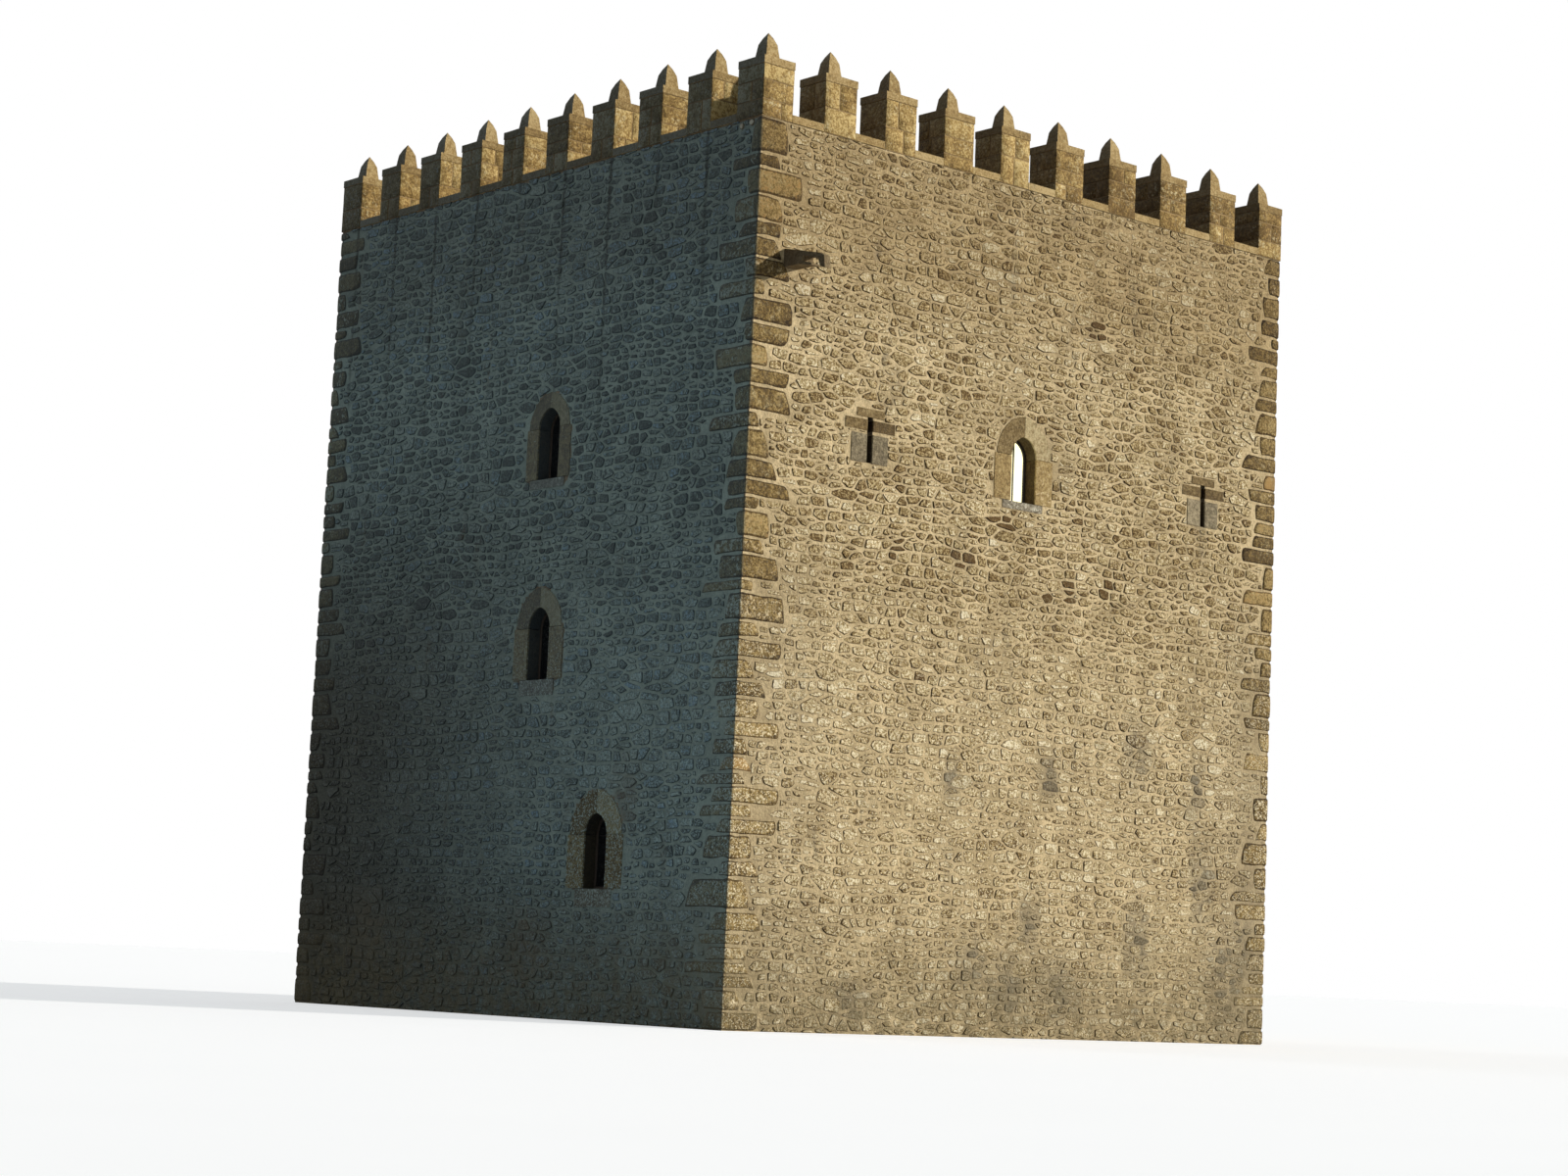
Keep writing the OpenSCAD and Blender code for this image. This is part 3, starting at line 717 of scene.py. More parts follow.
def add_quoin(shell, face, before, low, high, length, back_length, rng):
    """One corner stone, wrapped round the corner between two faces."""
    relief = rng.uniform(*QUOIN_RELIEF)
    tone = min(0.8, rng.triangular(0.0, 0.75, 0.25) + 0.06 * fade_between(1.5, 6.5, low))
    hue = rng.triangular(0.2, 1.0, 0.75)
    cover = rng.triangular(0.0, 0.5, 0.06) + 0.08 * fade_between(1.5, 6.5, low)
    for name, z in ORANGE_QUOINS:
        if name == face.name and low <= z < high:
            tone, hue, cover = 1.3, 1.0, 0.0
    seed = rng.uniform(0, 100)
    gap = rng.uniform(0.008, 0.020)
    low, high = low + gap, high - gap
    slants = [rng.uniform(-0.09, 0.04), rng.uniform(-0.09, 0.04)]
    knocks = [[rng.triangular(0.01, 0.12, 0.02), rng.triangular(0.01, 0.12, 0.02)] for _ in range(2)]
    points, edges, damp_and_shade_values, covers = [], [], [], []
    for row, level in enumerate(QUOIN_LEVELS):
        for share in QUOIN_SHARES:
            end = 1 if share > 0 else 0
            reach = (length if end else back_length) - gap
            reach += slants[end] * (level - 0.5) * 2
            if row in (0, 1, 4, 5):
                reach -= knocks[end][row // 4] * (1 if row in (0, 5) else 0.40)
            mark = math.copysign(0.022, share) if abs(share) == QUOIN_NOSE else share * reach
            rim = row in (0, 5) or abs(share) == 1.0
            shoulder = row in (1, 4) or abs(share) == QUOIN_SHOULDER
            here = blend(low + 0.020 * ripple(mark, low, 0.26, seed),
                         high + 0.020 * ripple(mark, low, 0.26, seed + 30), level)
            here = min(WALL_TOP - 0.002, max(0.002, here))
            swell = 0.0035 * ripple(mark, here, 0.11, seed + 7)
            out = SUNK if rim else min(MOST_RELIEF, relief * (0.84 if shoulder else 1) + swell)
            if share == 0.0:
                lean = (face.outward + before.outward) * (out if rim else out * 0.80)
                points.append(face.place(0, 0, here) + lean)
            elif share > 0:
                points.append(face.place(mark, out, here))
            else:
                points.append(before.place(before.length + mark, out, here))
            # The shoulder takes the rim of painted shade.
            edges.append(0.0 if rim else RIM_SHADE_END - 0.01 if shoulder else 1.0)
            damp_and_shade_values.append(before.damp if share < 0 else face.damp)
            covers.append(min(1.0, cover + 0.2 * damp_and_shade_values[-1]))
            if share == 0:
                damp_and_shade_values[-1] = (before.damp + face.damp) / 2
    faces = grid_faces(len(QUOIN_SHARES) - 1, len(QUOIN_LEVELS) - 1)
    shell.add(points, faces, tone=tone, hue=hue, edge=edges, damp=damp_and_shade_values, cover=covers)


# Dressed blocks.
def soft_box(shell, low, high, rng, tone, hue, bevel=0.012, cell=0.12, wear=0.004, damp=0.0):
    """A squared block with worn edges: a grid on each side, pinched and pitted."""
    low, high = Vector(low), Vector(high)
    size = high - low
    bevel = min(bevel, min(size) * 0.3)
    marks = []
    for axis in range(3):
        parts = max(1, round((size[axis] - 2 * bevel) / cell))
        inner = [bevel + (size[axis] - 2 * bevel) * k / parts for k in range(parts + 1)]
        marks.append([0.0] + inner + [size[axis]])
    seed = anywhere(rng)
    index = {}
    points, edges, faces = [], [], []

    last = [len(m) - 1 for m in marks]

    def push(local, key, depth):
        """Moves a point inwards from each side that it lies on."""
        for axis in range(3):
            if key[axis] in (0, last[axis]):
                local[axis] += depth if key[axis] == 0 else -depth

    def corner(key):
        """The number of the point at three marks, made where it is first met."""
        if key not in index:
            local = Vector([marks[axis][key[axis]] for axis in range(3)])
            sides = sum(key[axis] in (0, last[axis]) for axis in range(3))
            if sides > 1:
                push(local, key, bevel * (0.42 if sides == 2 else 0.58))
            dent = wear * (0.5 + 0.5 * noise.noise((low + local) * 9 + seed))
            dent += wear * 0.6 * (0.5 + 0.5 * noise.noise((low + local) * 23 + seed))
            push(local, key, dent)
            index[key] = len(points)
            points.append(low + local)
            # Edges and corners of the block take the rim of painted shade.
            edges.append(1.0 - 0.4 * (sides - 1))
        return index[key]

    for axis, first, second in ((0, 1, 2), (1, 2, 0), (2, 0, 1)):
        for side in (0, last[axis]):
            for i in range(last[first]):
                for j in range(last[second]):
                    ring = []
                    for di, dj in ((0, 0), (1, 0), (1, 1), (0, 1)):
                        key = [0, 0, 0]
                        key[axis], key[first], key[second] = side, i + di, j + dj
                        ring.append(corner(tuple(key)))
                    faces.append(tuple(ring if side else reversed(ring)))
    shell.add(points, faces, tone=tone, hue=hue, edge=edges, damp=damp)


def build_merlons(side, rng, material):
    """Small dressed blocks in courses over each merlon of one side."""
    shell = Shell()
    for solid in solids_of(side + "_merlons"):
        low, high = corners_of(solid)
        solid.free()
        damp = outer_damp_and_shade(low, high)
        browner = 0.0
        if side == "front":
            browner = 0.26 * step_between(front_low.x + 1.2, front_high.x, low.x)
        proud = Vector((BLOCK_PROUD, BLOCK_PROUD, 0))
        low, high = low - proud, high + proud
        count = rng.choice((2, 3, 3))
        shares = [rng.uniform(0.7, 1.3) for _ in range(count)]
        z = low.z
        for course, share in enumerate(shares):
            top = z + (high.z - low.z) * share / sum(shares)
            splits = rng.choice(((1, 2), (2, 1), (1, 1), (2, 2), (1, 2)))
            if course % 2:
                splits = splits[::-1]
            x_marks = split_marks(low.x, high.x, splits[0], rng)
            y_marks = split_marks(low.y, high.y, splits[1], rng)
            for x0, x1 in zip(x_marks, x_marks[1:]):
                for y0, y1 in zip(y_marks, y_marks[1:]):
                    shrink = rng.uniform(0, 0.003)
                    soft_box(shell, (x0 + (BLOCK_JOINT if x0 > low.x else shrink),
                                     y0 + (BLOCK_JOINT if y0 > low.y else shrink), z + BLOCK_JOINT),
                             (x1 - (BLOCK_JOINT if x1 < high.x else shrink),
                              y1 - (BLOCK_JOINT if y1 < high.y else shrink), top - BLOCK_JOINT / 2),
                             rng, rng.triangular(0.15, 0.95, 0.55) - browner,
                             rng.triangular(0.2, 1.0, 0.7), bevel=0.011, cell=0.17, wear=0.003,
                             damp=damp)
            z = top
    shell.piece(side + "_merlon_blocks", material, "merlon_stone", sharp=50)


def split_marks(low, high, count, rng):
    marks = [low]
    for k in range(1, count):
        marks.append(blend(low, high, k / count + rng.uniform(-0.12, 0.12) / count * 2))
    return marks + [high]


def weathered(name, node, material, slot, rng, bevel=0.012, cell=0.12, wear=0.005,
              tones=(0.3, 0.8), hues=(0.3, 0.8), covers=(0.0, 0.0), reveal=False):
    """Worn copies of a node's CAD stones, which stand for them. In a reveal, painted shade deepens
    inwards.
    """
    shell = Shell()
    for solid in solids_of(node):
        low, high = corners_of(solid)
        keen = [e for e in solid.edges
                if len(e.link_faces) == 2 and e.calc_face_angle() > math.radians(28)]
        bmesh.ops.bevel(solid, geom=keen, offset=bevel, segments=2, profile=0.6, affect="EDGES",
                        clamp_overlap=True)
        for axis in range(3):
            parts = max(1, round((high[axis] - low[axis]) / cell))
            normal = Vector([1.0 if k == axis else 0.0 for k in range(3)])
            for k in range(1, parts):
                spot = normal * (low[axis] + (high[axis] - low[axis]) * k / parts)
                bmesh.ops.bisect_plane(solid, geom=solid.verts[:] + solid.edges[:] + solid.faces[:],
                                       plane_co=spot, plane_no=normal)
        bmesh.ops.triangulate(solid, faces=[f for f in solid.faces if len(f.verts) > 4])
        solid.normal_update()
        solid.verts.index_update()
        seed = anywhere(rng)
        points = []
        for vert in solid.verts:
            dent = 0.5 + 0.5 * noise.noise(vert.co * 7 + seed)
            dent += 0.5 * (0.5 + 0.5 * noise.noise(vert.co * 19 + seed))
            points.append(vert.co - vert.normal * (wear * dent))
        faces = [tuple(v.index for v in face.verts) for face in solid.faces]
        edges = 1.0
        # In a reveal the edge value falls with depth, so the rim tint paints shade inwards.
        if reveal:
            wall = wall_of((low + high) / 2)
            edges = [1 - 0.3 * step_between(0.0, 0.09, -wall.spot(point)[1]) for point in points]
        shell.add(points, faces, tone=rng.uniform(*tones), hue=rng.uniform(*hues), edge=edges,
                  damp=outer_damp_and_shade(low, high), cover=rng.uniform(*covers))
        solid.free()
    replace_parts(shell.piece(name, material, slot, sharp=48), node)


def cuts(low, high, sizes, least, rng):
    """Cuts a length from low to high into stretches and leaves no rest shorter than least."""
    start = low + 0.01
    while start < high - 0.1:
        size = min(rng.uniform(*sizes), high - 0.01 - start)
        if high - start - size < least:
            size = high - 0.01 - start
        yield start, size
        start += size


def build_flags(rng, material):
    """Flagstones on the terrace, kept clear of the gully to the spout."""
    shell = Shell()
    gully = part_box("water_spout")
    behind = terrace_low.y + 0.29       # where the flags behind the gully start
    for y, deep in cuts(terrace_low.y, terrace_high.y, (0.42, 0.72), 0.25, rng):
        for x, wide in cuts(terrace_low.x, terrace_high.x, (0.5, 1.05), 0.3, rng):
            front = y
            if y < behind + 0.01 and x < gully[1].x + 0.02 and x + wide > gully[0].x - 0.02:
                front = behind
            soft_box(shell, (x + FLAG_JOINT, front + FLAG_JOINT, TERRACE_TOP - 0.03),
                     (x + wide - FLAG_JOINT, y + deep - FLAG_JOINT,
                      TERRACE_TOP + rng.uniform(0.010, 0.016)),
                     rng, rng.uniform(0.3, 0.8), rng.uniform(0.1, 0.5), bevel=0.008, cell=1.2,
                     wear=0.003)
    shell.piece("terrace_flagstones", material, "paving", sharp=50)


# Joinery and iron.
def add_plate(shell, face, outline, back, front, bevel, tone=0.5, hue=0.5):
    """A flat piece with bevelled edges, standing on a face from back to front."""
    inner = outline
    for a, b, limit in list(sides_of(outline)):
        inner = clip(inner, a, b, limit - bevel)
    if len(inner) < 3 or area_of(inner) < 1e-5:
        return
    u0, z0 = middle_of(inner)
    rings = []
    for height, pull in ((back, 0.0), (front - bevel, 0.0), (front, bevel)):
        for u, z in outline:
            reach = max(1e-6, math.hypot(u - u0, z - z0))
            share = 1 - pull / reach
            rings.append(face.place(blend(u0, u, share), height, blend(z0, z, share)))
    count = len(outline)
    faces = [tuple(range(2 * count, 3 * count))]
    faces += band(0, count, count) + band(count, 2 * count, count)
    shell.add(rings, faces, tone=tone, hue=hue)


def add_stud(shell, face, u, z, foot, rise, radius):
    """The domed head of a nail."""
    rings = []
    for height, reach in ((0.0, 1.0), (0.45, 0.88), (0.85, 0.50)):
        rings += [face.place(p[0], foot + rise * height, p[1]) for p in ring_of(u, z, radius * reach, 8)]
    top = [(16 + i, 16 + (i + 1) % 8, 24) for i in range(8)]
    shell.add(rings + [face.place(u, foot + rise, z)], band(0, 8, 8) + band(8, 16, 8) + top)


def add_ring_handle(shell, face, u, z, out, radius, wire):
    """A hanging ring of round iron."""
    points, faces = [], []
    steps, sides = 28, 8
    for i in range(steps):
        a = 2 * math.pi * i / steps
        for j in range(sides):
            b = 2 * math.pi * j / sides
            reach = radius + wire * math.cos(b)
            points.append(face.place(u + reach * math.sin(a), out + wire * math.sin(b),
                                     z - radius + reach * math.cos(a)))
    for i in range(steps):
        faces += band(i * sides, (i + 1) % steps * sides, sides)
    shell.add(points, faces)


def door_opening():
    """The outline of the leaf that shows between the jambs, and the face it is seen on."""
    face = FACES["right"]
    leaf = solids_of("door_leaf")[0]
    outline, _, surface = face.view(leaf)
    leaf.free()
    for a, b, limit in list(sides_of(outline)):
        outline = clip(outline, a, b, limit - (JAMB_LAP if b > -0.9 else STEP_LAP))
    return face, outline, surface


def build_door_boards(rng, material):
    face, opening, surface = door_opening()
    low_u, _, high_u, _ = extent_of(opening)
    shell = Shell()
    marks = split_marks(low_u, high_u, 6, rng)
    for u0, u1 in zip(marks, marks[1:]):
        board = strip_of(opening, u0 + BOARD_JOINT, u1 - BOARD_JOINT)
        add_plate(shell, face, board, surface - 0.002, surface + rng.uniform(0.013, 0.017), 0.004,
                  rng.random(), rng.random())
    shell.piece("door_boards", material, "oak_door", sharp=40)


def build_door_iron(material):
    """Two strap hinges, rows of nails, and a ring on its plate."""
    face, opening, surface = door_opening()
    low_u, low_z, high_u, _ = extent_of(opening)
    shell = Shell()
    front = surface + 0.014
    for height in STRAP_HEIGHTS:
        u0, u1, z = low_u + 0.02, high_u - 0.22, low_z + height
        strap = [(u0, z - 0.034), (u1 - 0.10, z - 0.026), (u1, z), (u1 - 0.10, z + 0.026),
                 (u0, z + 0.034)]
        add_plate(shell, face, strap, front - 0.004, front + 0.009, 0.003)
        for k in range(6):
            add_stud(shell, face, blend(u0 + 0.06, u1 - 0.13, k / 5), z, front + 0.008, 0.011, 0.014)
    for height in NAIL_HEIGHTS:
        for k in range(8):
            u, z = blend(low_u + 0.09, high_u - 0.09, k / 7), low_z + height
            if inside(u, z, opening, -0.05):
                add_stud(shell, face, u, z, front, 0.014, 0.019)
    u, z = high_u - 0.16, low_z + 1.02
    add_plate(shell, face, ring_of(u, z, 0.055, 12), front - 0.004, front + 0.008, 0.003)
    add_stud(shell, face, u, z, front + 0.007, 0.030, 0.020)
    add_ring_handle(shell, face, u, z + 0.004, front + 0.022, 0.068, 0.008)
    shell.piece("door_ironwork", material, "oak_door", sharp=35)


def build_glazing_bars(material):
    """One slim upright bar in front of each lancet's glass."""
    shell = Shell()
    for solid in solids_of("lancet_panes"):
        middle = sum((v.co for v in solid.verts), Vector()) / len(solid.verts)
        face = min(FACES.values(), key=lambda one: abs(one.spot(middle)[1] + 0.26))
        outline, _, surface = face.view(solid)
        solid.free()
        low_u, _, high_u, _ = extent_of(outline)
        u = (low_u + high_u) / 2
        bar = strip_of(outline, u - BAR_HALF, u + BAR_HALF)
        add_plate(shell, face, bar, surface - 0.002, surface + 0.010, 0.003)
    shell.piece("lancet_bars", material, "dark_timber", sharp=40)


# Material helpers.
class Maker:
    """Adds and links nodes in one tree."""

    def __init__(self, tree):
        self.tree = tree

    def put(self, value, socket):
        """Links a value to a socket, or sets the socket to a plain one."""
        if isinstance(value, bpy.types.NodeSocket):
            self.tree.links.new(value, socket)
        else:
            socket.default_value = value

    def node(self, kind, links=None, **settings):
        made = self.tree.nodes.new(kind)
        for label, value in settings.items():
            setattr(made, label, value)
        for label, value in (links or {}).items():
            self.put(value, made.inputs[label])
        return made

    def send(self, sockets, **values):
        """Links values to a group's outputs, and returns the group."""
        for label, value in values.items():
            self.put(value, sockets[label])
        return self.tree

    def group(self, group, links):
        return self.node("ShaderNodeGroup", links, node_tree=group).outputs

    def attribute(self, name):
        return self.node("ShaderNodeAttribute", attribute_name=name).outputs["Fac"]

    def along(self, axis, vector):
        return self.node("ShaderNodeSeparateXYZ", {"Vector": vector}).outputs[axis]

    def noise(self, coords, scale, detail=4.0, rough=0.55, twist=0.0):
        return self.node("ShaderNodeTexNoise", {"Vector": coords, "Scale": scale, "Detail": detail,
                                                "Roughness": rough, "Distortion": twist}).outputs["Fac"]

    def remap(self, value, low, high, to_low=0.0, to_high=1.0):
        made = self.node("ShaderNodeMapRange", {"Value": value, "From Min": low, "From Max": high,
                                                "To Min": to_low, "To Max": to_high},
                         interpolation_type="SMOOTHSTEP")
        return made.outputs["Result"]

    def math(self, operation, first, second=0.0, third=0.0, clamp=False):
        made = self.node("ShaderNodeMath", {0: first, 1: second, 2: third}, operation=operation)
        made.use_clamp = clamp
        return made.outputs[0]

    def times(self, first, second):
        return self.math("MULTIPLY", first, second)

    def minus(self, first, second):
        return self.math("SUBTRACT", first, second)

    def vary(self, value, variation, amount, clamp=False):
        """A value that a variation around a half shifts up and down."""
        return self.math("MULTIPLY_ADD", self.minus(variation, 0.5), amount, value, clamp)

    def mix(self, share, first, second, blend_type="MIX"):
        return self.node("ShaderNodeMix", {0: share, 6: first, 7: second}, data_type="RGBA",
                         blend_type=blend_type).outputs[2]

    def tinted(self, colour, tint):
        return self.mix(1.0, colour, tint, "MULTIPLY")

    def ramp(self, value, stops):
        """A colour ramp, from places and colours, or from three colours evenly spread."""
        if len(stops) == 3:
            stops = list(zip((0.0, 0.5, 1.0), stops))
        made = self.node("ShaderNodeValToRGB", {"Fac": value})
        elements = made.color_ramp.elements
        while len(elements) < len(stops):
            elements.new(0.5)
        for element, (place, colour) in zip(elements, stops):
            element.position = place
            element.color = (*colour, 1)
        return made.outputs["Color"]


SOME_COLOUR = (0.4, 0.3, 0.15, 1)       # what a group shows where it is given none


def new_group(name, inputs, outputs=("Colour",)):
    """A shader node group: its maker, what is given to it and what it puts out. An input
    without a usual value is a vector."""
    group = bpy.data.node_groups.new(name, "ShaderNodeTree")
    for label, value in inputs.items():
        kind = "Vector" if value is None else "Color" if isinstance(value, tuple) else "Float"
        socket = group.interface.new_socket(label, in_out="INPUT", socket_type="NodeSocket" + kind)
        if value is not None:
            socket.default_value = value
    for label in outputs:
        kind = "Color" if label == "Colour" else "Float"
        group.interface.new_socket(label, in_out="OUTPUT", socket_type="NodeSocket" + kind)
    make = Maker(group)
    return make, make.node("NodeGroupInput").outputs, make.node("NodeGroupOutput").inputs


def grain_group():
    """Mineral grain: speckle, mottle, blotch and a height for bump."""
    make, given, out = new_group(
        "Stone Grain", {"Coordinates": None, "Grain Scale": 60.0, "Mottle Scale": 9.0},
        ("Speckle", "Mottle", "Blotch", "Height"))
    fine = make.noise(given["Coordinates"], given["Grain Scale"], 3.0, 0.7)
    broad = make.noise(given["Coordinates"], given["Mottle Scale"], 5.0, 0.62, 0.4)
    rough = make.noise(given["Coordinates"], 24.0, 3.0, 0.6, 0.5)
    pits = make.node("ShaderNodeTexVoronoi", {"Vector": given["Coordinates"],
                                              "Scale": given["Grain Scale"]}, feature="SMOOTH_F1")
    height = make.times(fine, 0.35)
    for value, weight in ((broad, 0.60), (pits.outputs["Distance"], 0.20), (rough, 1.10)):
        height = make.math("MULTIPLY_ADD", value, weight, height)
    return make.send(out, Speckle=make.remap(fine, 0.32, 0.68), Mottle=make.remap(broad, 0.30, 0.70),
                     Blotch=make.remap(rough, 0.36, 0.64), Height=height)


def lime_mortar_group():
    """Sandy lime mortar, lighter and darker from place to place, with coarse grit in it."""
    make, given, out = new_group("Lime Mortar", {"Coordinates": None})
    drift = make.noise(given["Coordinates"], 1.3, 4.0, 0.6, 0.3)
    lumps = make.noise(given["Coordinates"], 19.0, 4.0, 0.65, 0.3)
    grit = make.noise(given["Coordinates"], 70.0, 2.0, 0.7)
    light = make.vary(make.remap(drift, 0.3, 0.7), lumps, 2.2, clamp=True)
    colour = make.mix(light, (0.468, 0.356, 0.194, 1), (0.740, 0.581, 0.337, 1))
    colour = make.mix(make.remap(grit, 0.57, 0.69, 0.0, 0.55), colour, (0.24, 0.175, 0.095, 1))
    return make.send(out, Colour=colour)


def aged_stone_group():
    """A stone's own colour, greyer or more ochre, with lichen on it and a dark rim of painted shade
    round its edge.
    """
    make, given, out = new_group(
        "Aged Stone", {"Colour": SOME_COLOUR, "Hue": 0.5, "Grey Amount": 0.3, "Lichen": 0.0,
                       "Lichen Colour": (0.54, 0.45, 0.25, 1), "Edge": 1.0, "Blotch": 0.5,
                       "Rim Tint": (0.34, 0.30, 0.24, 1)})
    share = make.times(make.minus(1.0, given["Hue"]), given["Grey Amount"])
    colour = make.mix(share, given["Colour"], make.tinted(given["Colour"], (0.90, 1.0, 1.20, 1)))
    colour = make.mix(given["Lichen"], colour, given["Lichen Colour"])
    # The rim is painted shade where the stone's edge turns down into the joint.
    ragged = make.vary(given["Edge"], given["Blotch"], 0.012)
    rim = make.remap(ragged, RIM_SHADE_END + 0.006, RIM_SHADE_END - 0.014)
    return make.send(out, Colour=make.mix(rim, colour, make.tinted(colour, given["Rim Tint"])))


def limewash_group(lime_mortar):
    """Old mortar spread over a stone inside its rim, with white flecks of limewash low on the
    wall. It also puts out how much of the stone the mortar hides."""
    make, given, out = new_group(
        "Limewash", {"Coordinates": None, "Colour": SOME_COLOUR, "Cover": 0.5, "Edge": 1.0,
                     "Blotch": 0.5}, ("Colour", "Mortar"))
    coords = given["Coordinates"]
    height = make.along("Z", coords)
    on_stone = make.remap(given["Edge"], RIM_SHADE_END - 0.02, RIM_SHADE_END + 0.01)
    patch = make.vary(make.noise(coords, 15.0, 5.0, 0.62, 0.6), given["Cover"], 0.42)
    patch = make.times(make.remap(patch, 0.50, 0.575), on_stone)
    mortar = make.times(patch, make.remap(given["Blotch"], 0.0, 0.55, 0.15, 0.85))
    colour = make.mix(mortar, given["Colour"],
                      make.group(lime_mortar, {"Coordinates": coords})["Colour"])
    flecks = make.remap(make.noise(coords, 33.0, 3.0, 0.6, 0.5), 0.54, 0.59)
    bare = make.times(on_stone, make.remap(height, 8.0, 4.5, 0.15, 0.9))
    flecks = make.times(make.times(flecks, make.math("MAXIMUM", patch, bare)),
                        make.remap(height, 8.6, 5.0, 0.21, 0.85))
    return make.send(out, Colour=make.mix(flecks, colour, LIMEWASH),
                     Mortar=make.math("MAXIMUM", mortar, flecks))


def weather_group():
    """Where age shows: dark runs from above, damp at the foot and lichen spots."""
    make, given, out = new_group(
        "Weathering", {"Coordinates": None, "Stain Amount": 0.5, "Lichen Amount": 0.5},
        ("Stain", "Lichen", "Foot"))
    coords = given["Coordinates"]
    drawn = make.node("ShaderNodeMapping", {"Vector": coords, "Scale": (1.5, 1.5, 0.28)})
    runs = make.noise(drawn.outputs["Vector"], 1.6, 5.0, 0.65, 0.3)
    spots = make.noise(coords, 5.0, 6.0, 0.7, 0.2)
    stain = make.times(make.remap(runs, 0.56, 0.76), make.remap(spots, 0.38, 0.62))
    field = make.noise(coords, 2.3, 3.0, 0.6)
    lichen = make.times(make.remap(make.noise(coords, 17.0, 5.0, 0.72), 0.52, 0.64),
                        make.remap(field, 0.42, 0.62))
    foot = make.times(make.remap(make.along("Z", coords), 2.6, 0.0), make.remap(spots, 0.25, 0.65))
    return make.send(out, Stain=make.times(stain, given["Stain Amount"]),
                     Lichen=make.times(lichen, given["Lichen Amount"]), Foot=foot)


def drip_group():
    """Thin dark lines where water runs down beside the merlons of the shaded wall."""
    make, given, out = new_group(
        "Drip Lines", {"Coordinates": None, "Pitch": 1.27, "Start": 0.0, "Top": 14.3, "Damp": 1.0},
        ("Mask",))
    coords = given["Coordinates"]
    moved = make.vary(make.along("Y", coords), make.noise(coords, 1.2, 3.0, 0.5), 0.07)
    turns = make.math("DIVIDE", make.minus(moved, given["Start"]), given["Pitch"])
    near = make.math("ABSOLUTE", make.minus(make.math("FRACT", turns), 0.5))
    breadth = make.times(make.noise(coords, 3.0, 3.0, 0.6), 0.034)
    line = make.remap(make.minus(near, breadth), 0.022, 0.000)
    each = make.node("ShaderNodeTexWhiteNoise", {"W": make.math("FLOOR", turns)},
                     noise_dimensions="1D")
    length = make.math("MULTIPLY_ADD", each.outputs["Value"], 5.5, 2.0)
    fall = make.minus(given["Top"], make.along("Z", coords))
    faded = make.math("SUBTRACT", 1.0, make.math("DIVIDE", fall, length), clamp=True)
    breaks = make.remap(make.noise(coords, 6.0, 4.0, 0.6), 0.30, 0.55)
    mask = make.times(make.times(line, faded), breaks)
    return make.send(out, Mask=make.times(mask, make.remap(given["Damp"], 0.85, 0.95)))


def damp_wall_group():
    """A wall's colour: darker where a dry wall meets the parapet, and with painted shade where the
    wall looks away from the sun: darker, cooler and under a thin grey-blue film that is partly
    growth and partly painted shade. Mortar is 1 for mortar and 0 for bare stone; the shade films are how
    much of that film lies on the stone near the ground and higher up."""
    make, given, out = new_group(
        "Damp Wall", {"Coordinates": None, "Colour": SOME_COLOUR, "Damp": 0.0, "Mortar": 1.0,
                      "Stone Tint": DAMP_SHADE_STONE, "Low Film": 0.22, "High Film": 0.22})
    place = {axis: make.along(axis, given["Coordinates"]) for axis in "XYZ"}
    colour = given["Colour"]
    high = make.times(make.remap(place["Z"], 10.8, 12.8), make.minus(1.0, given["Damp"]))
    colour = make.mix(high, colour, make.tinted(colour, HIGH_TINT))
    tint = make.mix(given["Mortar"], given["Stone Tint"], DAMP_SHADE_MORTAR)
    film = make.remap(place["Z"], 3.5, 5.0, given["Low Film"], given["High Film"])
    film = make.remap(given["Mortar"], 0.0, 1.0, film, 0.36)
    shade_filmed = make.mix(film, make.tinted(colour, tint), DAMP_SHADE_FILM)
    # Painted shade: darker away from the sunlit corner, near the ground and near the top.
    painted_shade_falloff = make.remap(make.minus(place["Y"], place["X"]), 0.96 * WIDTH, 0.2 * WIDTH, 0.18,
                       1.12)
    painted_shade_falloff = make.remap(place["Z"], 10.5, 4.5, 1.06, painted_shade_falloff)
    for low, high, share in ((3.2, 0.5, 0.74), (11.3, 13.0, 0.69)):
        painted_shade_falloff = make.times(painted_shade_falloff, make.remap(place["Z"], low, high, 1.0, share))
    shade_filmed = make.tinted(shade_filmed, painted_shade_falloff)
    return make.send(out, Colour=make.mix(make.times(given["Damp"], 0.92), colour, shade_filmed))


def turned_group():
    """The colour of a block whose sides that look away from the sun get painted shade, darker and
    greyer, and cooler still where they look outwards."""
    make, given, out = new_group(
        "Shaded Sides", {"Colour": SOME_COLOUR, "Damp": 0.0, "Amount": 0.92})
    normal = make.node("ShaderNodeNewGeometry").outputs["Normal"]
    side = make.minus(make.times(make.along("Y", normal), 0.75), make.along("X", normal))
    mask = make.times(make.remap(side, 0.0, 0.8), given["Amount"])
    keeps = make.mix(given["Damp"], BACK_TINT, OUTER_TINT)
    return make.send(out, Colour=make.mix(mask, given["Colour"], make.tinted(given["Colour"], keeps)))


def marks_group():
    """Grey stains, water lines and the grimy foot, laid over a colour."""
    make, given, out = new_group(
        "Wall Marks", {"Colour": SOME_COLOUR, "Stain": 0.0, "Spill": 0.0, "Lines": 0.0,
                       "Foot": 0.0, "Stain Colour": (0.1, 0.086, 0.06, 1)})
    stain = make.math("MAXIMUM", given["Stain"], make.times(given["Spill"], 0.72))
    colour = make.mix(stain, given["Colour"], given["Stain Colour"])
    colour = make.mix(make.times(given["Lines"], 0.75), colour, (0.022, 0.024, 0.020, 1))
    colour = make.mix(make.times(given["Foot"], 0.66), colour, (0.145, 0.116, 0.058, 1))
    return make.send(out, Colour=colour)


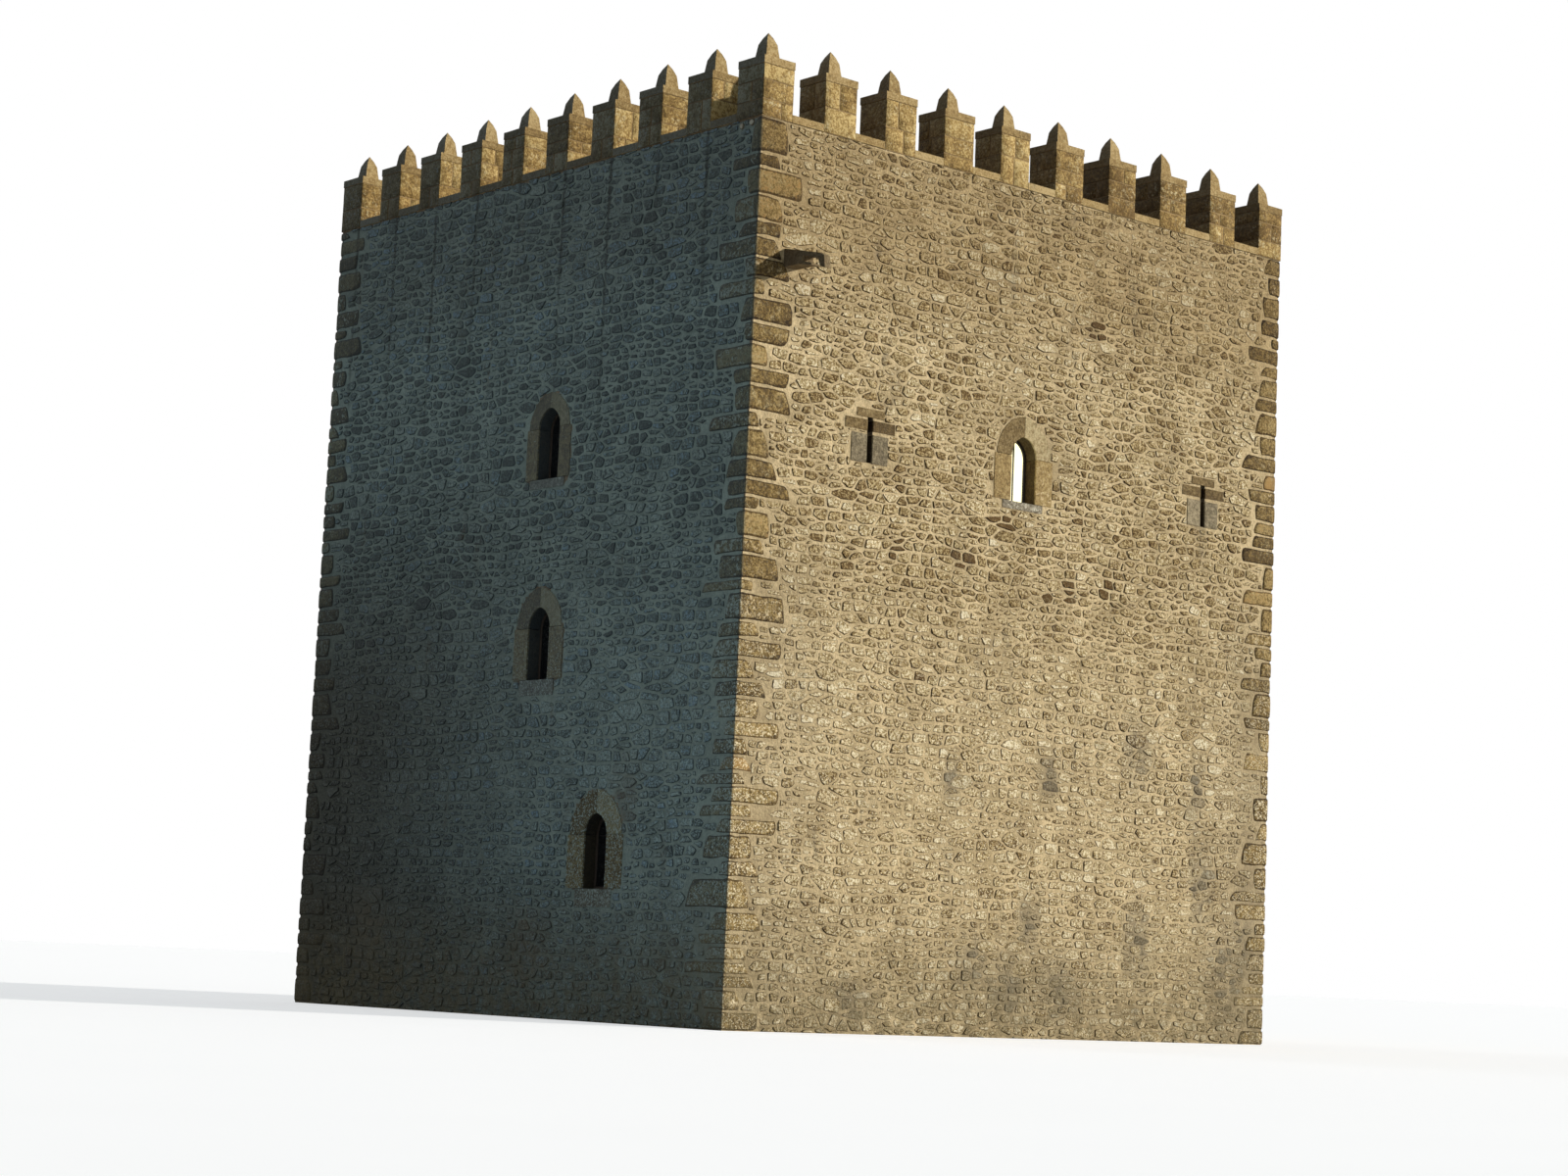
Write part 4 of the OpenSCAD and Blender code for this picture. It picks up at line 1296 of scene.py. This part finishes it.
def oak_group():
    """Weathered oak, drawn out along its grain: a tone and the lines of the grain."""
    make, given, out = new_group(
        "Oak Grain", {"Coordinates": None, "Along Grain": None, "Board": 0.5}, ("Tone", "Lines"))
    drawn = make.node("ShaderNodeMapping", {"Vector": given["Coordinates"],
                                            "Scale": given["Along Grain"]})
    lines = make.noise(drawn.outputs["Vector"], 2.4, 6.0, 0.66, 0.35)
    tone = make.vary(make.remap(lines, 0.3, 0.7), make.noise(given["Coordinates"], 3.0, 3.0, 0.5), 0.5)
    return make.send(out, Tone=make.vary(tone, given["Board"], 0.4, clamp=True), Lines=lines)


LIMEWASH = (0.930, 0.810, 0.550, 1)
# What is left of a colour in a wall that looks away from the sun, as painted shade with some damp
# darkening, for rubble, mortar, corner stones and dressed stones.
DAMP_SHADE_STONE = (0.155, 0.345, 0.72, 1)
DAMP_SHADE_MORTAR = (0.395, 0.67, 1.0, 1)
DAMP_SHADE_CORNER = (0.335, 0.49, 0.72, 1)
DAMP_SHADE_DRESSED = (0.42, 0.52, 0.60, 1)
DAMP_SHADE_FILM = (0.172, 0.266, 0.320, 1)    # the grey-blue film laid over it: painted shade, partly a thin growth
BACK_TINT = (0.28, 0.305, 0.41, 1)      # what free-standing stones keep of their colour on their shaded sides, as painted shade
OUTER_TINT = (0.195, 0.30, 0.58, 1)     # painted shade where those sides look outwards
HIGH_TINT = (0.73, 0.69, 0.62, 1)       # what the stones under the parapet keep

GRAIN, LIME, AGED, WEATHER = grain_group(), lime_mortar_group(), aged_stone_group(), weather_group()
SMEAR, DRIPS, DAMP_SHADE_WALL = limewash_group(LIME), drip_group(), damp_wall_group()
TURNED, MARKS, OAK = turned_group(), marks_group(), oak_group()

left_merlons = sorted(corners_of(s)[0].y for s in solids_of("left_merlons"))
DRIP_PITCH = left_merlons[1] - left_merlons[0]
DRIP_START = left_merlons[0] + 0.05 - DRIP_PITCH / 2


def new_material(name):
    material = bpy.data.materials.new(name)
    material.use_nodes = True
    material.node_tree.nodes.clear()
    make = Maker(material.node_tree)
    shader = make.node("ShaderNodeBsdfPrincipled")
    make.node("ShaderNodeOutputMaterial", {"Surface": shader.outputs["BSDF"]})
    return material, make, shader.inputs, make.node("ShaderNodeTexCoord").outputs["Object"]


def skin(make, shader, colour, roughness, height, strength, depth):
    """Gives a shader its colour, roughness and bump."""
    make.put(colour, shader["Base Color"])
    make.put(roughness, shader["Roughness"])
    bump = make.node("ShaderNodeBump", {"Height": height, "Strength": strength, "Distance": depth})
    make.put(bump.outputs["Normal"], shader["Normal"])


def masonry_end(make, shader, coords, colour, grain, weather, stain_colour, in_wall, turned, film,
                rough, bump):
    """The painted shade and damp, marks, roughness and bump that stone and mortar share."""
    damp = make.attribute("damp")
    lines = 0.0
    if in_wall:
        colour = make.group(DAMP_SHADE_WALL, {"Coordinates": coords, "Colour": colour, "Damp": damp,
                                        **film})["Colour"]
        lines = make.group(DRIPS, {"Coordinates": coords, "Pitch": DRIP_PITCH, "Start": DRIP_START,
                                   "Top": WALL_TOP, "Damp": damp})["Mask"]
    else:
        colour = make.group(TURNED, {"Colour": colour, "Damp": damp, "Amount": turned})["Colour"]
    marked = make.group(MARKS, {"Colour": colour, "Stain": weather["Stain"], "Foot": weather["Foot"],
                                "Spill": make.attribute("stain"), "Lines": lines,
                                "Stain Colour": stain_colour})
    skin(make, shader, marked["Colour"], make.remap(grain["Speckle"], 0.0, 1.0, *rough),
         grain["Height"], *bump)
    shader["Specular IOR Level"].default_value = 0.25


def stone_material(name, stops, grey=0.35, stain=0.5, lichen=0.3, bump=0.8,
                   lichen_colour=(0.54, 0.45, 0.25, 1), in_wall=True, grain_scale=55.0, rim=0.34,
                   speckle=0.30, blotch=0.30, mottle=0.34, tint=DAMP_SHADE_STONE, film=(0.22, 0.22),
                   turned=0.92):
    """Natural stone: a tone for each stone, grain, mortar smears, stains and lichen, and a dark rim of
    painted shade, as dark as rim. The shade film is how much of the grey-blue film, partly growth and
    partly painted shade, lies on it where the wall looks away from the sun, near the ground and higher
    up."""
    material, make, shader, coords = new_material(name)
    edge = make.attribute("edge")
    grain = make.group(GRAIN, {"Coordinates": coords, "Grain Scale": grain_scale})
    weather = make.group(WEATHER, {"Coordinates": coords, "Stain Amount": stain,
                                   "Lichen Amount": lichen})
    tone = make.vary(make.attribute("tone"), grain["Mottle"], mottle)
    tone = make.vary(make.vary(tone, grain["Speckle"], speckle), grain["Blotch"], blotch)
    colour = make.group(AGED, {"Colour": make.ramp(tone, stops), "Hue": make.attribute("hue"),
                               "Grey Amount": grey, "Lichen": weather["Lichen"], "Edge": edge,
                               "Lichen Colour": lichen_colour, "Blotch": grain["Blotch"],
                               "Rim Tint": (rim, rim * 0.88, rim * 0.72, 1)})["Colour"]
    shade_films = {}
    if in_wall:
        smeared = make.group(SMEAR, {"Coordinates": coords, "Colour": colour, "Edge": edge,
                                     "Cover": make.attribute("cover"), "Blotch": grain["Blotch"]})
        colour = smeared["Colour"]
        shade_films = {"Mortar": smeared["Mortar"], "Stone Tint": tint, "Low Film": film[0],
                 "High Film": film[1]}
    masonry_end(make, shader, coords, colour, grain, weather, (0.100, 0.086, 0.060, 1), in_wall,
                turned, shade_films, (0.78, 0.96), (bump, 0.020))
    return material


def mortar_material(name, in_wall=True, tint=(1, 1, 1, 1)):
    """Lime mortar between stones, uneven from the trowel and the weather."""
    material, make, shader, coords = new_material(name)
    grain = make.group(GRAIN, {"Coordinates": coords, "Grain Scale": 95.0, "Mottle Scale": 14.0})
    weather = make.group(WEATHER, {"Coordinates": coords, "Stain Amount": 0.55, "Lichen Amount": 0.0})
    colour = make.tinted(make.group(LIME, {"Coordinates": coords})["Colour"], tint)
    colour = make.mix(make.remap(grain["Mottle"], 0.40, 0.0, 0.0, 0.45), colour, (0.25, 0.185, 0.10, 1))
    masonry_end(make, shader, coords, colour, grain, weather, (0.13, 0.115, 0.085, 1), in_wall, 0.92,
                {"Mortar": 1.0}, (0.86, 0.99), (1.0, 0.022))
    return material


def oak_material(name, dark, light, axis=2):
    """Weathered oak with the grain along one axis."""
    material, make, shader, coords = new_material(name)
    along_grain = [22.0, 22.0, 22.0]
    along_grain[axis] = 1.6
    oak = make.group(OAK, {"Coordinates": coords, "Along Grain": tuple(along_grain),
                           "Board": make.attribute("tone")})
    skin(make, shader, make.mix(oak["Tone"], dark, light),
         make.remap(oak["Lines"], 0.2, 0.8, 0.62, 0.85), oak["Lines"], 0.5, 0.004)
    return material


def iron_material():
    """Forged iron, nearly black, with rust in patches."""
    material, make, shader, coords = new_material("forged_iron")
    rust = make.remap(make.noise(coords, 16.0, 6.0, 0.7, 0.4), 0.48, 0.66)
    grain = make.noise(coords, 120.0, 3.0, 0.6)
    colour = make.mix(rust, (0.030, 0.028, 0.027, 1), (0.120, 0.052, 0.022, 1))
    colour = make.mix(make.remap(grain, 0.4, 0.7, 0.0, 0.4), colour, (0.060, 0.045, 0.036, 1))
    make.put(make.math("MULTIPLY_ADD", rust, -0.7, 0.75), shader["Metallic"])
    skin(make, shader, colour, make.remap(rust, 0.0, 1.0, 0.48, 0.88), grain, 0.4, 0.003)
    return material


def glass_material():
    """Old window glass, opaque and nearly black as painted shade for the dark rooms behind it, and clear
    before the front window's blind.
    """
    material, make, shader, coords = new_material("window_glass")
    waves = make.noise(coords, 7.0, 2.0, 0.5)
    dust = make.noise(coords, 26.0, 4.0, 0.65)
    # Nearly black and, away from the front window, opaque: painted shade for the dark rooms behind.
    colour = make.mix(make.remap(dust, 0.45, 0.75), (0.008, 0.009, 0.010, 1), (0.030, 0.032, 0.032, 1))
    make.put(make.remap(make.along("Y", coords), -5.74, -5.70, 0.07, 1.0), shader["Alpha"])
    skin(make, shader, colour, make.remap(dust, 0.4, 0.8, 0.08, 0.30), waves, 0.25, 0.01)
    return material


def blind_material():
    """A pale linen blind with a fine weave, made to glow: its emission paints the sunlight that falls on
    it.
    """
    material, make, shader, coords = new_material("pale_linen")
    weave = make.node("ShaderNodeTexWave", {"Vector": coords, "Scale": 160.0, "Distortion": 0.6},
                      bands_direction="Z").outputs["Fac"]
    cloud = make.remap(make.noise(coords, 4.0, 3.0, 0.5), 0.3, 0.7)
    linen = make.mix(cloud, (0.97, 0.89, 0.52, 1), (1.0, 0.94, 0.60, 1))
    # Painted light: the linen glows as if sunlit.
    make.put(linen, shader["Emission Color"])
    shader["Emission Strength"].default_value = 1.95
    skin(make, shader, linen, 0.9, weave, 0.2, 0.002)
    return material


STONE_STOPS = [(0.00, (0.100, 0.052, 0.012)), (0.10, (0.174, 0.108, 0.036)),
               (0.32, (0.308, 0.212, 0.083)), (0.56, (0.460, 0.338, 0.156)),
               (0.82, (0.625, 0.487, 0.259)), (1.00, (0.840, 0.730, 0.500))]
QUOIN_STOPS = [(0.00, (0.084, 0.050, 0.014)), (0.35, (0.197, 0.124, 0.036)),
               (0.70, (0.335, 0.230, 0.083)), (0.88, (0.460, 0.345, 0.152)),
               (1.00, (0.385, 0.232, 0.078))]
MERLON_STOPS = [(0.00, (0.138, 0.080, 0.023)), (0.40, (0.280, 0.175, 0.055)),
                (0.75, (0.405, 0.267, 0.090)), (1.00, (0.600, 0.440, 0.186))]
RUBBLE = stone_material("rubble_stone", STONE_STOPS, stain=0.65, lichen=0.30, blotch=0.80,
                        speckle=0.52, mottle=0.44, bump=1.1)
QUOINS = stone_material("corner_stone", QUOIN_STOPS, grey=0.30, stain=0.45, lichen=0.60, blotch=0.60,
                        mottle=0.55, tint=DAMP_SHADE_CORNER, film=(0.13, 0.13))
MERLON = stone_material("merlon_stone", MERLON_STOPS, grey=0.2, lichen=0.85, in_wall=False,
                        grain_scale=42.0, lichen_colour=(0.70, 0.59, 0.34, 1), blotch=0.60,
                        mottle=0.60)
COPING = stone_material(
    "coping_stone", ((0.180, 0.112, 0.039), (0.338, 0.224, 0.085), (0.52, 0.38, 0.18)),
    grey=0.2, stain=0.4, lichen=0.55, in_wall=False, blotch=0.45, lichen_colour=(0.54, 0.44, 0.22, 1))
DRESSED_LOOK = {"rim": 0.20, "blotch": 0.55, "mottle": 0.5, "tint": DAMP_SHADE_DRESSED, "film": (0.04, 0.18)}
JAMB = stone_material(
    "jamb_stone", ((0.133, 0.084, 0.029), (0.306, 0.201, 0.074), (0.47, 0.345, 0.150)),
    grey=0.25, stain=0.25, lichen=0.35, **DRESSED_LOOK)
SILL = stone_material(
    "sill_stone", ((0.120, 0.095, 0.060), (0.270, 0.222, 0.145), (0.45, 0.390, 0.280)),
    grey=0.4, stain=0.3, lichen=1.0, lichen_colour=(0.70, 0.66, 0.52, 1), **DRESSED_LOOK)
GREY_DRESSED = stone_material(
    "grey_dressed_stone", ((0.085, 0.052, 0.018), (0.176, 0.114, 0.041), (0.30, 0.215, 0.095)),
    grey=0.3, stain=0.3, lichen=0.20, **DRESSED_LOOK)
SLIT_SIDE = stone_material(
    "slit_side_stone", ((0.125, 0.095, 0.052), (0.255, 0.198, 0.112), (0.42, 0.335, 0.200)),
    grey=0.6, stain=0.3, lichen=0.35, **DRESSED_LOOK)
OCHRE_DRESSED = stone_material(
    "ochre_dressed_stone", ((0.22, 0.155, 0.068), (0.395, 0.298, 0.145), (0.54, 0.44, 0.25)),
    grey=0.25, stain=0.25, lichen=0.4, **DRESSED_LOOK)
SPOUT = stone_material(
    "spout_stone", ((0.073, 0.051, 0.022), (0.162, 0.110, 0.053), (0.31, 0.232, 0.125)),
    grey=0.2, lichen=0.35, in_wall=False, lichen_colour=(0.17, 0.18, 0.08, 1), turned=0.60)
FLAGS = stone_material(
    "flagstone", ((0.20, 0.16, 0.10), (0.32, 0.27, 0.18), (0.44, 0.38, 0.27)),
    grey=0.6, stain=0.3, lichen=0.6, in_wall=False)
MORTAR = mortar_material("lime_mortar")
WALL_CORE = mortar_material("wall_core", in_wall=False)
BLOCK_MORTAR = mortar_material("block_mortar", in_wall=False, tint=(0.62, 0.54, 0.42, 1))
FRAME_TIMBER = oak_material("dark_oak", (0.020, 0.014, 0.010, 1), (0.065, 0.047, 0.032, 1))
FLOOR_TIMBER = oak_material("floor_oak", (0.13, 0.085, 0.05, 1), (0.26, 0.18, 0.11, 1), 0)
DOOR_TIMBER = oak_material("door_oak", (0.085, 0.050, 0.026, 1), (0.22, 0.14, 0.078, 1))
IRON = iron_material()
GLASS = glass_material()
BLIND = blind_material()


def give(node, material):
    mesh = frame["nodes"][node].data
    mesh.materials.clear()
    mesh.materials.append(material)


def round_edges(node, width):
    """Worn edges on a CAD node that stays, by modifiers that leave its mesh alone."""
    thing = frame["nodes"][node]
    thing.modifiers.new("join", "WELD").merge_threshold = 0.0001
    bevel = thing.modifiers.new("worn", "BEVEL")
    bevel.width = width
    bevel.segments = 2
    bevel.limit_method = "ANGLE"
    bevel.angle_limit = math.radians(35)


# The keep, piece by piece.
find_blockers()
quoins = lay_quoins(random.Random(11))
for spot in PALE_PEBBLES:
    FACES["left"].blockers.append(ring_of(*spot, 0.074))
for number, (side, face) in enumerate(FACES.items()):
    build_rubble(face, random.Random(101 + number), side + "_rubble", RUBBLE)
    build_mortar(face, side + "_mortar", MORTAR)
for number, (side, face) in enumerate(INNER_FACES.items()):
    build_rubble(face, random.Random(201 + number), side + "_parapet_rubble", RUBBLE)
corner_shell = Shell()
quoin_rng = random.Random(31)
for quoin in quoins:
    add_quoin(corner_shell, *quoin, quoin_rng)
corner_shell.piece("corner_stones", QUOINS, "rubble_masonry", sharp=60)

# For each side: the worn copy's name, its node, bevel, grid, wear and tones.
TOP_STONES = (("_worn_copings", "_copings", 0.016, 0.14, 0.005, (0.3, 0.8)),
              ("_worn_caps", "_caps", 0.006, 0.10, 0.004, (0.45, 0.8)),
              ("_worn_sills", "_crenel_sills", 0.016, 0.16, 0.005, (0.4, 0.9)))
for number, side in enumerate(FACES):
    build_merlons(side, random.Random(301 + number), MERLON)
    give(side + "_merlons", BLOCK_MORTAR)
    give(side + "_wall", WALL_CORE)
    give(side + "_parapet", WALL_CORE)
    rng = random.Random(401 + number)
    for name, node, bevel, cell, wear, tones in TOP_STONES:
        weathered(side + name, side + node, COPING, "coping_stone", rng, bevel, cell, wear, tones,
                  hues=(0.4, 0.9))

# For each kind of stone set in a wall: the worn copy's name, its node, material, slot, bevel,
# grid, wear, tones, hues and covers.
GREYS, WARMS = (0.0, 0.3), (0.3, 0.8)
SET_STONES = (
    ("lancet_left_arches", "lancet_left_arch_stones", GREY_DRESSED, "grey_dressed_stone",
     0.012, 0.09, 0.008, (0.35, 0.6), WARMS, (0.0, 0.1)),
    ("lancet_right_arches", "lancet_right_arch_stones", OCHRE_DRESSED, "ochre_dressed_stone",
     0.012, 0.09, 0.008, (0.3, 0.6), WARMS, (0.25, 0.5)),
    ("lancet_jamb_stones", "lancet_jambs", JAMB, "jamb_stone",
     0.012, 0.10, 0.008, (0.25, 0.6), WARMS, (0.15, 0.35)),
    ("lancet_sill_stones", "lancet_sills", SILL, "jamb_stone",
     0.012, 0.10, 0.008, (0.35, 0.65), GREYS, (0.0, 0.15)),
    ("slit_sides", "slit_side_stones", SLIT_SIDE, "jamb_stone",
     0.008, 0.10, 0.006, (0.20, 0.65), WARMS, (0.0, 0.25)),
    ("slit_shoulders", "slit_shoulder_stones", GREY_DRESSED, "grey_dressed_stone",
     0.010, 0.10, 0.007, (0.0, 0.5), WARMS, (0.0, 0.0)),
    ("slit_heads", "slit_lintels", GREY_DRESSED, "grey_dressed_stone",
     0.010, 0.10, 0.007, (0.2, 0.7), WARMS, (0.1, 0.3)),
    ("door_arch_stones", "door_arch", OCHRE_DRESSED, "ochre_dressed_stone",
     0.012, 0.12, 0.007, (0.3, 0.6), WARMS, (0.1, 0.35)),
    ("door_jamb_stones", "door_jambs", JAMB, "jamb_stone",
     0.012, 0.14, 0.007, (0.3, 0.8), WARMS, (0.2, 0.4)))
rng = random.Random(501)
for name, node, material, slot, *shape in SET_STONES:
    weathered(name, node, material, slot, rng, *shape, reveal=True)
weathered("door_step", "door_threshold", JAMB, "jamb_stone", rng, bevel=0.014, cell=0.14, wear=0.007)
weathered("carved_spout", "water_spout", SPOUT, "spout_stone", rng, bevel=0.006, cell=0.07, wear=0.004)

build_flags(random.Random(601), FLAGS)
for node, material in (("terrace", FLAGS), ("ground_floor", FLAGS), ("first_floor", FLOOR_TIMBER),
                       ("second_floor", FLOOR_TIMBER), ("lancet_frames", FRAME_TIMBER),
                       ("lancet_panes", GLASS), ("lancet_blind", BLIND), ("door_leaf", DOOR_TIMBER)):
    give(node, material)
round_edges("lancet_frames", 0.005)
round_edges("door_leaf", 0.005)
build_door_boards(random.Random(701), DOOR_TIMBER)
build_door_iron(IRON)
build_glazing_bars(FRAME_TIMBER)


# Camera, light and floor.
def photo_camera():
    """The camera of the photograph, fitted to the merlons and wall edges."""
    yaw, pitch, roll = math.radians(49.216), math.radians(7.175), math.radians(2.481)
    ahead = Vector((math.cos(pitch) * math.cos(yaw), math.cos(pitch) * math.sin(yaw),
                    math.sin(pitch)))
    across = Vector((math.sin(yaw), -math.cos(yaw), 0))
    above = across.cross(ahead)
    right = math.cos(roll) * across + math.sin(roll) * above
    top = -math.sin(roll) * across + math.cos(roll) * above
    lens = bpy.data.cameras.new("photo_camera")
    lens.lens = 70.0
    lens.sensor_width = 36
    lens.clip_end = 4000
    camera = placed("photo_camera", lens)
    turn = Matrix((right, top, -ahead)).transposed().to_4x4()
    camera.matrix_world = Matrix.Translation((-36.24, -41.77, 0.92)) @ turn
    bpy.context.scene.camera = camera


def sun(name, azimuth, elevation, power, colour, softness):
    """A sun whose light comes from azimuth, in degrees from -Y towards +X; softness is how
    wide it looks, in degrees."""
    lamp = bpy.data.lights.new(name, "SUN")
    lamp.energy = power
    lamp.color = colour
    lamp.angle = math.radians(softness)
    a, e = math.radians(azimuth), math.radians(elevation)
    source = Vector((math.sin(a) * math.cos(e), -math.cos(a) * math.cos(e), math.sin(e)))
    placed(name, lamp).rotation_euler = source.to_track_quat("Z", "Y").to_euler()


def white_world(strength, colour):
    """Soft even light, with plain white where the camera, gloss or glass looks past it."""
    world = bpy.data.worlds.new("studio")
    bpy.context.scene.world = world
    world.use_nodes = True
    make = Maker(world.node_tree)
    world.node_tree.nodes.clear()
    path = make.node("ShaderNodeLightPath")
    seen = make.math("MAXIMUM", path.outputs["Is Camera Ray"],
                     make.math("MAXIMUM", path.outputs["Is Glossy Ray"],
                               path.outputs["Is Transmission Ray"]))
    soft = make.node("ShaderNodeBackground", {"Color": (*colour, 1), "Strength": strength})
    white = make.node("ShaderNodeBackground", {"Color": (1, 1, 1, 1), "Strength": 1.0})
    both = make.node("ShaderNodeMixShader", {0: seen, 1: soft.outputs[0], 2: white.outputs[0]})
    make.node("ShaderNodeOutputWorld", {"Surface": both.outputs[0]})


def pale_floor():
    shell = bmesh.new()
    bmesh.ops.create_circle(shell, cap_ends=True, radius=1500, segments=64)
    mesh = bpy.data.meshes.new("studio_floor")
    shell.to_mesh(mesh)
    shell.free()
    material, make, shader, coords = new_material("pale_floor")
    cloud = make.noise(coords, 0.4, 3.0, 0.5)
    make.put(make.mix(cloud, (0.53, 0.53, 0.53, 1), (0.57, 0.57, 0.57, 1)), shader["Base Color"])
    shader["Roughness"].default_value = 0.95
    shader["Emission Color"].default_value = (1, 1, 1, 1)
    path = make.node("ShaderNodeLightPath").outputs
    make.put(make.times(path["Is Camera Ray"], 0.56), shader["Emission Strength"])
    mesh.materials.append(material)
    floor = placed("studio_floor", mesh)


photo_camera()
pale_floor()
sun("key", azimuth=46, elevation=16, power=3.9, colour=(1.0, 0.955, 0.88), softness=1.5)
sun("back_fill", azimuth=200, elevation=30, power=0.35, colour=(0.90, 0.95, 1.0), softness=12)
white_world(strength=0.22, colour=(0.74, 0.90, 1.0))
bpy.context.scene.view_settings.view_transform = "Standard"
